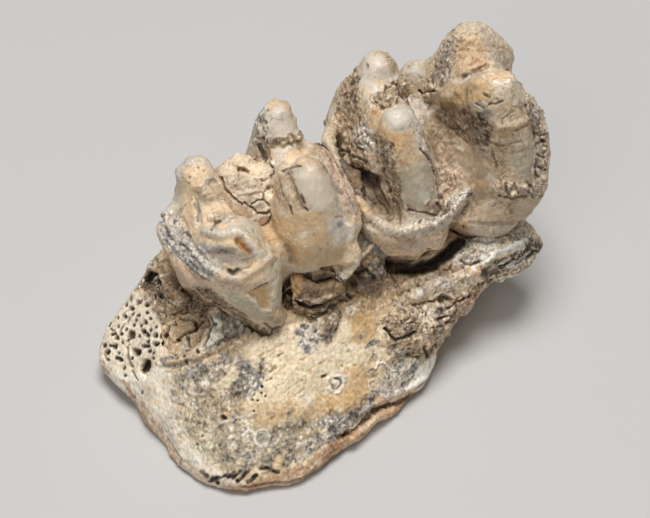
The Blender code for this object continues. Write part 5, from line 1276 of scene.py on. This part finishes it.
    def weather(self, seed):
        """Paints the sides of a tooth that the camera doesn't see: streaked enamel, with dirt low down."""
        hidden = 1.0 - self.seen
        streaks = fractal(self.points * np.array((1.0, 1.0, 0.3)), 1.6, 3, seed)
        self.push(streaks * hidden, 0.12)
        self.paint(hidden, "honey", 0.35)
        self.paint(self.share(streaks, 0.35, 0.4) * hidden, "ivory", 0.8)
        self.speckle(hidden, "honey", 3.5, 0.3, seed + 1, 0.7, 0.3)
        self.speckle(hidden, "slate", 1.4, 0.03, seed + 2, 0.4, 0.1)
        self.speckle(hidden, "umber", 0.5, 0.03, seed + 5, 0.5, 0.05)
        self.crackle(hidden, 3.4, 0.02, 0.06, "umber", seed + 6, 0.6, 0.6)
        close = self.near(("jaw_bone",), 4.0) + 0.3 * self.noise(2.5, 3, seed + 3)
        low = smoothstep(0.2, 0.8, close) * hidden
        low = np.maximum(low, self.share(self.noise(4.5, 4, seed + 7), 0.22, 0.1) * hidden)
        tips = smoothstep(22.0, 31.0, self.points[:, 2]) * hidden
        self.paint(tips, "pearl", 0.6)
        self.paint(low, "clay", 0.9)
        self.speckle(low, "mud", 1.2, 0.4, seed + 8, 0.8, 0.2)
        self.gloss += (0.65 - self.gloss) * hidden
        self.gloss += (0.0 - self.gloss) * low
        self.crust += (0.25 - self.crust) * hidden
        self.crust += (1.0 - self.crust) * low
        self.push(low * fractal(self.points, 1.4, 3, seed + 4), 0.25)

    def finish(self, material):
        """Makes the object, inside the box of the solids: it rides on the body and replaces the solid."""
        low, high = (np.array(corner) / MM for corner in CAD_BOX)
        self.points = np.clip(self.points, low, high)
        self.look()
        obj = bpy.data.objects.new(self.node + "_skin", self.mesh)
        bpy.context.scene.collection.objects.link(obj)
        for attribute, values in (("gloss", self.gloss), ("crust", self.crust)):
            layer = self.mesh.attributes.new(attribute, "FLOAT", "POINT")
            layer.data.foreach_set("value", np.clip(values, 0.0, 1.0))
        paint = self.mesh.attributes.new("paint", "FLOAT_COLOR", "POINT")
        rgba = np.ones((self.count, 4))
        rgba[:, :3] = np.clip(self.colour, 0.0, 1.0)
        paint.data.foreach_set("color", rgba.ravel())
        self.mesh.materials.clear()
        self.mesh.materials.append(material)
        self.mesh.shade_smooth()
        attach(obj, "root")
        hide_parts(self.node)


# Materials

class Wire:
    """A number that flows through a material, so that shader maths reads as an expression."""

    def __init__(self, recipe, socket):
        self.recipe = recipe
        self.socket = socket

    def join(self, operation, left, right):
        return self.recipe.node("ShaderNodeMath", {"operation": operation}, {0: left, 1: right})

    def __add__(self, other):
        return self.join("ADD", self, other)

    def __radd__(self, other):
        return self.join("ADD", other, self)

    def __sub__(self, other):
        return self.join("SUBTRACT", self, other)

    def __rsub__(self, other):
        return self.join("SUBTRACT", other, self)

    def __mul__(self, other):
        return self.join("MULTIPLY", self, other)

    def __rmul__(self, other):
        return self.join("MULTIPLY", other, self)


class Recipe:
    """Builds one material's nodes."""

    def __init__(self, name):
        self.material = bpy.data.materials.new(name)
        self.material.use_nodes = True
        self.tree = self.material.node_tree
        self.shader = self.tree.nodes["Principled BSDF"]

    def node(self, kind, options, inputs, output=0):
        made = self.tree.nodes.new(kind)
        for key, value in options.items():
            setattr(made, key, value)
        for key, value in inputs.items():
            self.feed(made.inputs[key], value)
        return Wire(self, made.outputs[output])

    def feed(self, socket, value):
        if isinstance(value, Wire):
            self.tree.links.new(value.socket, socket)
        else:
            socket.default_value = value

    def serve(self, inputs):
        """Feeds the shader and gives the finished material."""
        for key, value in inputs.items():
            self.feed(self.shader.inputs[key], value)
        return self.material

    def noise(self, size, detail=3.0, roughness=0.6):
        """Grain of about this size in millimetres, from 0 to 1."""
        return self.node("ShaderNodeTexNoise", {"noise_dimensions": "3D"},
                         {"Vector": self.node("ShaderNodeTexCoord", {}, {}, "Object"),
                          "Scale": 1.0 / (size * MM), "Detail": detail, "Roughness": roughness})

    def attribute(self, name, output):
        return self.node("ShaderNodeAttribute", {"attribute_name": name}, {}, output)

    def tint(self, base, shade, factor, blend="MIX"):
        return self.node("ShaderNodeMix", {"data_type": "RGBA", "blend_type": blend},
                         {0: factor, 6: base, 7: shade}, 2)

    def between(self, low, high, value):
        """0 below low, 1 above high and even between them."""
        return self.node("ShaderNodeMapRange", {"interpolation_type": "SMOOTHSTEP"},
                         {0: value, 1: low, 2: high, 3: 0.0, 4: 1.0})


def fossil_finish(name, roughness, gloss_drop, grain_depth, speck_share, scatter_light):
    """A finish that takes its colour from the painted skin, with grain and specks finer than the paint."""
    recipe = Recipe(name)
    paint = recipe.attribute("paint", "Color")
    gloss = recipe.attribute("gloss", "Fac")
    crust = recipe.attribute("crust", "Fac")
    fine = recipe.noise(0.3, 4.0, 0.7)
    tiny = recipe.noise(0.14, 2.0)
    soft = recipe.noise(1.4, 3.0)
    dark = (1.0 - recipe.between(0.3, 0.55, fine)) * crust
    shade = recipe.tint(paint, (0.64, 0.60, 0.54, 1.0), dark, "MULTIPLY")
    pale = recipe.between(0.5, 0.7, tiny) * crust
    shade = recipe.tint(shade, (1.3, 1.27, 1.22, 1.0), pale, "MULTIPLY")
    shade = recipe.tint(shade, (1.12, 1.10, 1.06, 1.0), soft * 0.5, "MULTIPLY")
    specks = recipe.between(0.64, 0.70, recipe.noise(0.24, 2.0)) * crust * speck_share
    shade = recipe.tint(shade, (0.3, 0.25, 0.2, 1.0), specks, "MULTIPLY")
    height = recipe.noise(0.5, 5.0, 0.7) * crust + recipe.noise(0.16, 2.0) * crust * 0.3
    bump = recipe.node("ShaderNodeBump", {}, {"Strength": 1.0, "Distance": grain_depth, "Height": height})
    return recipe.serve({
        "Base Color": shade, "Normal": bump,
        "Roughness": roughness + (fine - 0.5) * 0.2 - gloss * gloss_drop,
        "Subsurface Weight": scatter_light, "Subsurface Radius": (1.0, 0.7, 0.45),
        "Subsurface Scale": 0.0006, "Specular IOR Level": 0.4})


def enamel_finish(skin):
    return fossil_finish("worn enamel", 0.75, 0.75 - skin.enamel_roughness, skin.grain_depth, 0.5, 0.15)


def bone_finish(skin):
    return fossil_finish("fossil bone", skin.bone_roughness, 0.3, skin.grain_depth * 2.0, 0.6, 0.0)


def sediment_finish(skin):
    return fossil_finish("hardened sediment", 0.9, 0.3, skin.grain_depth * 3.0, 0.8, 0.0)


# Stage

def aim(obj, place, target):
    obj.location = place
    obj.rotation_euler = (Vector(target) - Vector(place)).to_track_quat("-Z", "Y").to_euler()


def area_light(name, place, target, size, power, tint):
    data = bpy.data.lights.new(name, "AREA")
    data.shape = "DISK"
    data.size = size
    data.energy = power
    data.color = tint
    light = bpy.data.objects.new(name, data)
    bpy.context.scene.collection.objects.link(light)
    aim(light, place, target)


class FOSSIL_OT_stage(bpy.types.Operator):
    """Makes the camera, the pale floor and the soft lights"""
    bl_idname = "fossil.stage"
    bl_label = "Stage"

    def execute(self, context):
        stage, _, _ = settings()
        picture = Picture(stage)
        data = bpy.data.cameras.new("camera")
        data.lens = stage.lens_mm
        data.sensor_width = SENSOR_MM
        data.clip_start = 0.01
        data.clip_end = 10.0
        camera = bpy.data.objects.new("camera", data)
        context.scene.collection.objects.link(camera)
        aim(camera, picture.eye * MM, stage.target)
        context.scene.camera = camera

        bm = bmesh.new()
        bmesh.ops.create_grid(bm, x_segments=1, y_segments=1, size=FLOOR_HALF_METRES)
        mesh = bpy.data.meshes.new("floor")
        bm.to_mesh(mesh)
        bm.free()
        floor = bpy.data.objects.new("floor", mesh)
        context.scene.collection.objects.link(floor)
        paint = {"Base Color": (*stage.floor_colour, 1.0), "Roughness": 0.9}
        mesh.materials.append(Recipe("floor").serve(paint))

        across, toward = Vector(picture.right), Vector(picture.back)
        middle = Vector(stage.target)
        area_light("key", middle + Vector((0.0, 0.0, 0.6)) + toward * 0.05, middle, size=0.3,
                   power=stage.key_power, tint=(1.0, 0.985, 0.97))
        area_light("fill", middle + toward * 0.7 - across * 0.2, middle, size=0.4,
                   power=stage.fill_power, tint=(1.0, 1.0, 1.0))
        world = bpy.data.worlds.new("studio")
        context.scene.world = world
        world.use_nodes = True
        sky = world.node_tree.nodes["Background"]
        sky.inputs["Color"].default_value = (1.0, 1.0, 1.0, 1.0)
        sky.inputs["Strength"].default_value = stage.sky_strength
        context.scene.view_settings.view_transform = "Standard"
        return {"FINISHED"}


class FOSSIL_OT_jaw_bone(bpy.types.Operator):
    """Finishes the jaw bone: its broad wall, the porous break, the socket and the underside"""
    bl_idname = "fossil.jaw_bone"
    bl_label = "Jaw bone"

    def execute(self, context):
        skin = context.scene.fossil_skin
        bone = Skin("jaw_bone", skin.bone_voxel, cuts=2, soften=4)
        bone.drag(JAW_PULLS)
        bone.apply(JAW_FORMS, 1)
        gap = bone.line(pairs(GAP_UNDER_COLLAR), 20)
        bone.meet(("front_molar", "rear_molar"), reach=0.9, overlap=0.15,
                  weight=1.0 - smoothstep(0.0, 0.3, gap))
        bone.look()
        bone.push(bone.noise(3.0, 3, 11), 0.15)
        bone.look()

        low = smoothstep(2.6, 1.2, bone.points[:, 2])
        porous = bone.patch(pairs(POROUS_BREAK), 6) * bone.seen
        front_end = smoothstep(-19.0, -22.0, bone.points[:, 0]) * (1.0 - bone.seen)
        rear_end = smoothstep(19.0, 22.0, bone.points[:, 0]) * (1.0 - bone.seen)
        crest = smoothstep(11.5, 13.5, bone.points[:, 2])
        hidden = 1.0 - bone.seen

        bone.paint(bone.every, "sand")
        bone.speckle(bone.every, "bone", 6.0, 0.5, 12, 0.8, 0.3)
        bone.speckle(bone.every, "ochre", 3.5, 0.25, 13, 0.45, 0.3)
        bone.speckle(hidden, "olive", 4.5, 0.25, 14, 0.7, 0.25)
        bone.paint(crest, "clay", 0.6)
        fibres = fractal(bone.points * np.array((0.22, 1.0, 1.0)), 1.5, 3, 34)
        bone.push(fibres * hidden, 0.16)
        bone.paint(bone.share(fibres, 0.25, 0.25) * hidden, "chalk", 0.5)
        bone.paint(bone.share(-fibres, 0.2, 0.2) * hidden, "umber", 0.35)
        bone.paint(np.maximum(porous, front_end), "dust", 0.95)
        bone.paint(porous, "bone", 0.4)
        bone.paint(porous, "chalk", 0.3)
        bone.apply(JAW_MARKS, 2)
        rough = smoothstep(0.8, 1.0, bone.crust)
        stained = smoothstep(0.58, 0.78, bone.crust) * (1.0 - rough)
        cluster = bone.share(bone.noise(1.8, 3, 90), 0.5, 0.4)
        bone.specks(stained * cluster, STAIN_SPECKS, 0, 40, 0.1)
        bone.specks(stained * (1.0 - cluster), PALE_SPECKS, 0, 50, 0.15)
        bone.specks(rough, ROUGH_SPECKS, 7, 40, 0.1)
        dirty_part = bone.share(bone.noise(5.0, 2, 27), 0.35, 0.3)
        bone.speckle(dirty_part, "umber", 0.45, 0.07, 17, 0.6, 0.06)
        bone.veins(bone.every, 4.0, 0.035, 0.06, "umber", 28, 0.45, 0.35)
        bone.paint(low, "rust", 0.35)
        layers = smoothstep(0.1, 0.5, waves(bone.points * np.array((0.15, 0.15, 2.2)) + 3.0, 18))
        bone.paint(low * layers, "umber", 0.6)
        bone.push(low * layers, -0.15)
        bone.apply(PORES, 3)
        ends = np.maximum(front_end, rear_end)
        bone.pores(ends, 1.1, 0.45, 0.36, 0.45, "umber", 19, 1.0)
        bone.pores(ends, 2.2, 0.3, 0.3, 0.9, "pit", 20, 1.0)
        bone.pores(porous, 0.85, 0.3, 0.24, 0.12, "umber", 33)
        bone.crumble(0.1 * stained + rough, 1.6, 0.5, 22, 0.1)
        bone.look()
        bone.crumble(0.3 * stained + rough, 0.6, 0.2, 23, 0.15)
        bone.crackle(rough, 1.6, 0.07, 0.35, "umber", 29, 0.8, 0.4)
        bone.crackle(hidden, 6.0, 0.02, 0.3, "umber", 24)
        bone.push(bone.noise(1.2, 3, 25), 0.07)
        bone.grain(0.2 + 0.8 * bone.crust, 0.4, 0.09, 0.65, 30)
        bone.apply(CRUSTY_RINGS, 4)
        bone.apply(FLECKS, 5)
        # Painted shade in the hollows, painted highlight on the edges.
        bone.age(0.55)
        bone.finish(bone_finish(skin))
        return {"FINISHED"}


class FOSSIL_OT_front_molar(bpy.types.Operator):
    """Finishes the front molar: its worn cusps, folds and roots"""
    bl_idname = "fossil.front_molar"
    bl_label = "Front molar"

    def execute(self, context):
        skin = context.scene.fossil_skin
        tooth = Skin("front_molar", skin.front_voxel, cuts=2, soften=6)
        tooth.drag(FRONT_PULLS)
        tooth.apply(FRONT_FORMS, 1)
        tooth.look()
        tooth.push(tooth.noise(2.2, 3, 19), 0.12)
        tooth.paint(tooth.every, "ivory")
        tooth.gloss += 0.55
        tooth.speckle(tooth.every, "honey", 3.0, 0.45, 21, 0.6, 0.3)
        tooth.speckle(tooth.every, "dull", 1.6, 0.3, 23, 0.5, 0.2)
        tooth.weather(101)
        tooth.apply(FRONT_MARKS, 2)
        dirty, crusty = tooth.dirt(0.16, 27)
        tooth.crumble(crusty, 0.7, 0.16, 29, 0.12)
        tooth.look()
        tooth.crumble(crusty, 0.35, 0.08, 30, 0.2)
        tooth.veins(tooth.every, 3.2, 0.03, 0.05, "umber", 31, 0.4, 0.5)
        tooth.grain(0.1 + 0.9 * dirty, 0.4, 0.07, 0.5, 32)
        # Painted shade in the hollows, painted highlight on the edges.
        tooth.age(0.4)
        tooth.finish(enamel_finish(skin))
        return {"FINISHED"}


class FOSSIL_OT_rear_molar(bpy.types.Operator):
    """Finishes the rear molar: its cusps, the beaded collar and the crust on them"""
    bl_idname = "fossil.rear_molar"
    bl_label = "Rear molar"

    def execute(self, context):
        skin = context.scene.fossil_skin
        tooth = Skin("rear_molar", skin.rear_voxel, cuts=2, soften=6)
        tooth.drag(REAR_PULLS)
        tooth.apply(REAR_FORMS, 1)
        tooth.even(tooth.patch(pairs(DARK_VALLEY), 6) * tooth.seen, 16)
        tooth.look()
        tooth.push(tooth.noise(2.4, 3, 51), 0.14)
        tooth.paint(tooth.every, "ivory")
        tooth.gloss += 0.45
        tooth.speckle(tooth.every, "honey", 3.0, 0.45, 52, 0.6, 0.3)
        tooth.speckle(tooth.every, "dull", 1.6, 0.35, 53, 0.6, 0.2)
        tooth.weather(111)
        tooth.apply(REAR_MARKS, 2)
        dirty, crusty = tooth.dirt(0.14, 55)
        bare = (1.0 - smoothstep(0.4, 0.75, tooth.gloss)) * tooth.seen
        tooth.specks(np.maximum(crusty, 0.4 * bare), TOOTH_SPECKS, 60, 40, 0.1)
        crusty = np.maximum(crusty, 0.18 * bare)
        tooth.crackle(np.maximum(crusty, 0.6 * bare), 1.3, 0.06, 0.2, "umber", 62, 0.85, 0.35)
        tooth.crumble(crusty, 0.9, 0.28, 57, 0.12)
        tooth.look()
        tooth.crumble(crusty, 0.42, 0.12, 58, 0.25)
        tooth.veins(tooth.every, 3.2, 0.03, 0.05, "umber", 59, 0.4, 0.5)
        tooth.grain(0.15 + 0.85 * np.maximum(dirty, 0.4 * bare), 0.4, 0.07, 0.5, 60)
        # Painted shade in the hollows, painted highlight on the edges.
        tooth.age(0.4)
        tooth.finish(enamel_finish(skin))
        return {"FINISHED"}


class FOSSIL_OT_sediment(bpy.types.Operator):
    """Finishes the four lumps of hardened sediment"""
    bl_idname = "fossil.sediment"
    bl_label = "Sediment"

    def execute(self, context):
        skin = context.scene.fossil_skin
        material = sediment_finish(skin)
        for seed, (node, plan) in enumerate(LUMPS.items(), start=80):
            lump = Skin(node, skin.lump_voxel, cuts=1, soften=3)
            lump.meet(plan.neighbours, reach=1.0, overlap=0.2)
            lump.look()
            lump.paint(lump.every, plan.base)
            lump.speckle(lump.every, plan.second, 1.2, 0.4, seed + 30, 0.7, 0.2)
            lump.crust[:] = 0.4 + 0.6 * plan.crumbs
            lump.crumble(lump.every, 2.6, 0.5 + 0.5 * plan.crumbs, seed, 0.08)
            lump.look()
            lump.crumble(lump.every, 0.9, 0.4 * plan.crumbs, seed + 10, 0.15)
            lump.look()
            lump.crumble(lump.every, 0.4, 0.15 * plan.crumbs, seed + 15, 0.2)
            lump.crackle(lump.every, 1.8, 0.06, 0.4 * plan.crumbs, "umber", seed + 25, 0.85,
                         0.5 * plan.crumbs)
            lump.grain(lump.every, 0.4, 0.08, 0.3, seed + 20)
            lump.apply(plan.marks, seed)
            # Painted shade in the hollows, painted highlight on the edges.
            lump.age(0.4)
            lump.finish(material)
        return {"FINISHED"}


class FOSSIL_PT_panel(bpy.types.Panel):
    """Lists the settings and the pieces"""
    bl_idname = "FOSSIL_PT_panel"
    bl_label = "Fossil jaw"
    bl_space_type = "VIEW_3D"
    bl_region_type = "UI"
    bl_category = "Fossil"

    def draw(self, context):
        for group in settings():
            box = self.layout.box()
            for name in group.__annotations__:
                box.prop(group, name)
        for operator in OPERATORS:
            self.layout.operator(operator.bl_idname)


OPERATORS = (FOSSIL_OT_stage, FOSSIL_OT_jaw_bone, FOSSIL_OT_front_molar, FOSSIL_OT_rear_molar,
    FOSSIL_OT_sediment)
GROUPS = {"fossil_stage": StageSettings, "fossil_skin": SkinSettings, "fossil_colours": FossilColours}
CLASSES = (*GROUPS.values(), *OPERATORS, FOSSIL_PT_panel)


def register():
    for cls in CLASSES:
        bpy.utils.register_class(cls)
    for name, group in GROUPS.items():
        setattr(bpy.types.Scene, name, PointerProperty(type=group))


def unregister():
    for name in GROUPS:
        delattr(bpy.types.Scene, name)
    for cls in reversed(CLASSES):
        bpy.utils.unregister_class(cls)


def main():
    register()
    bpy.ops.fossil.stage()
    bpy.ops.fossil.jaw_bone()
    bpy.ops.fossil.front_molar()
    bpy.ops.fossil.rear_molar()
    bpy.ops.fossil.sediment()


if __name__ == "__main__":
    main()
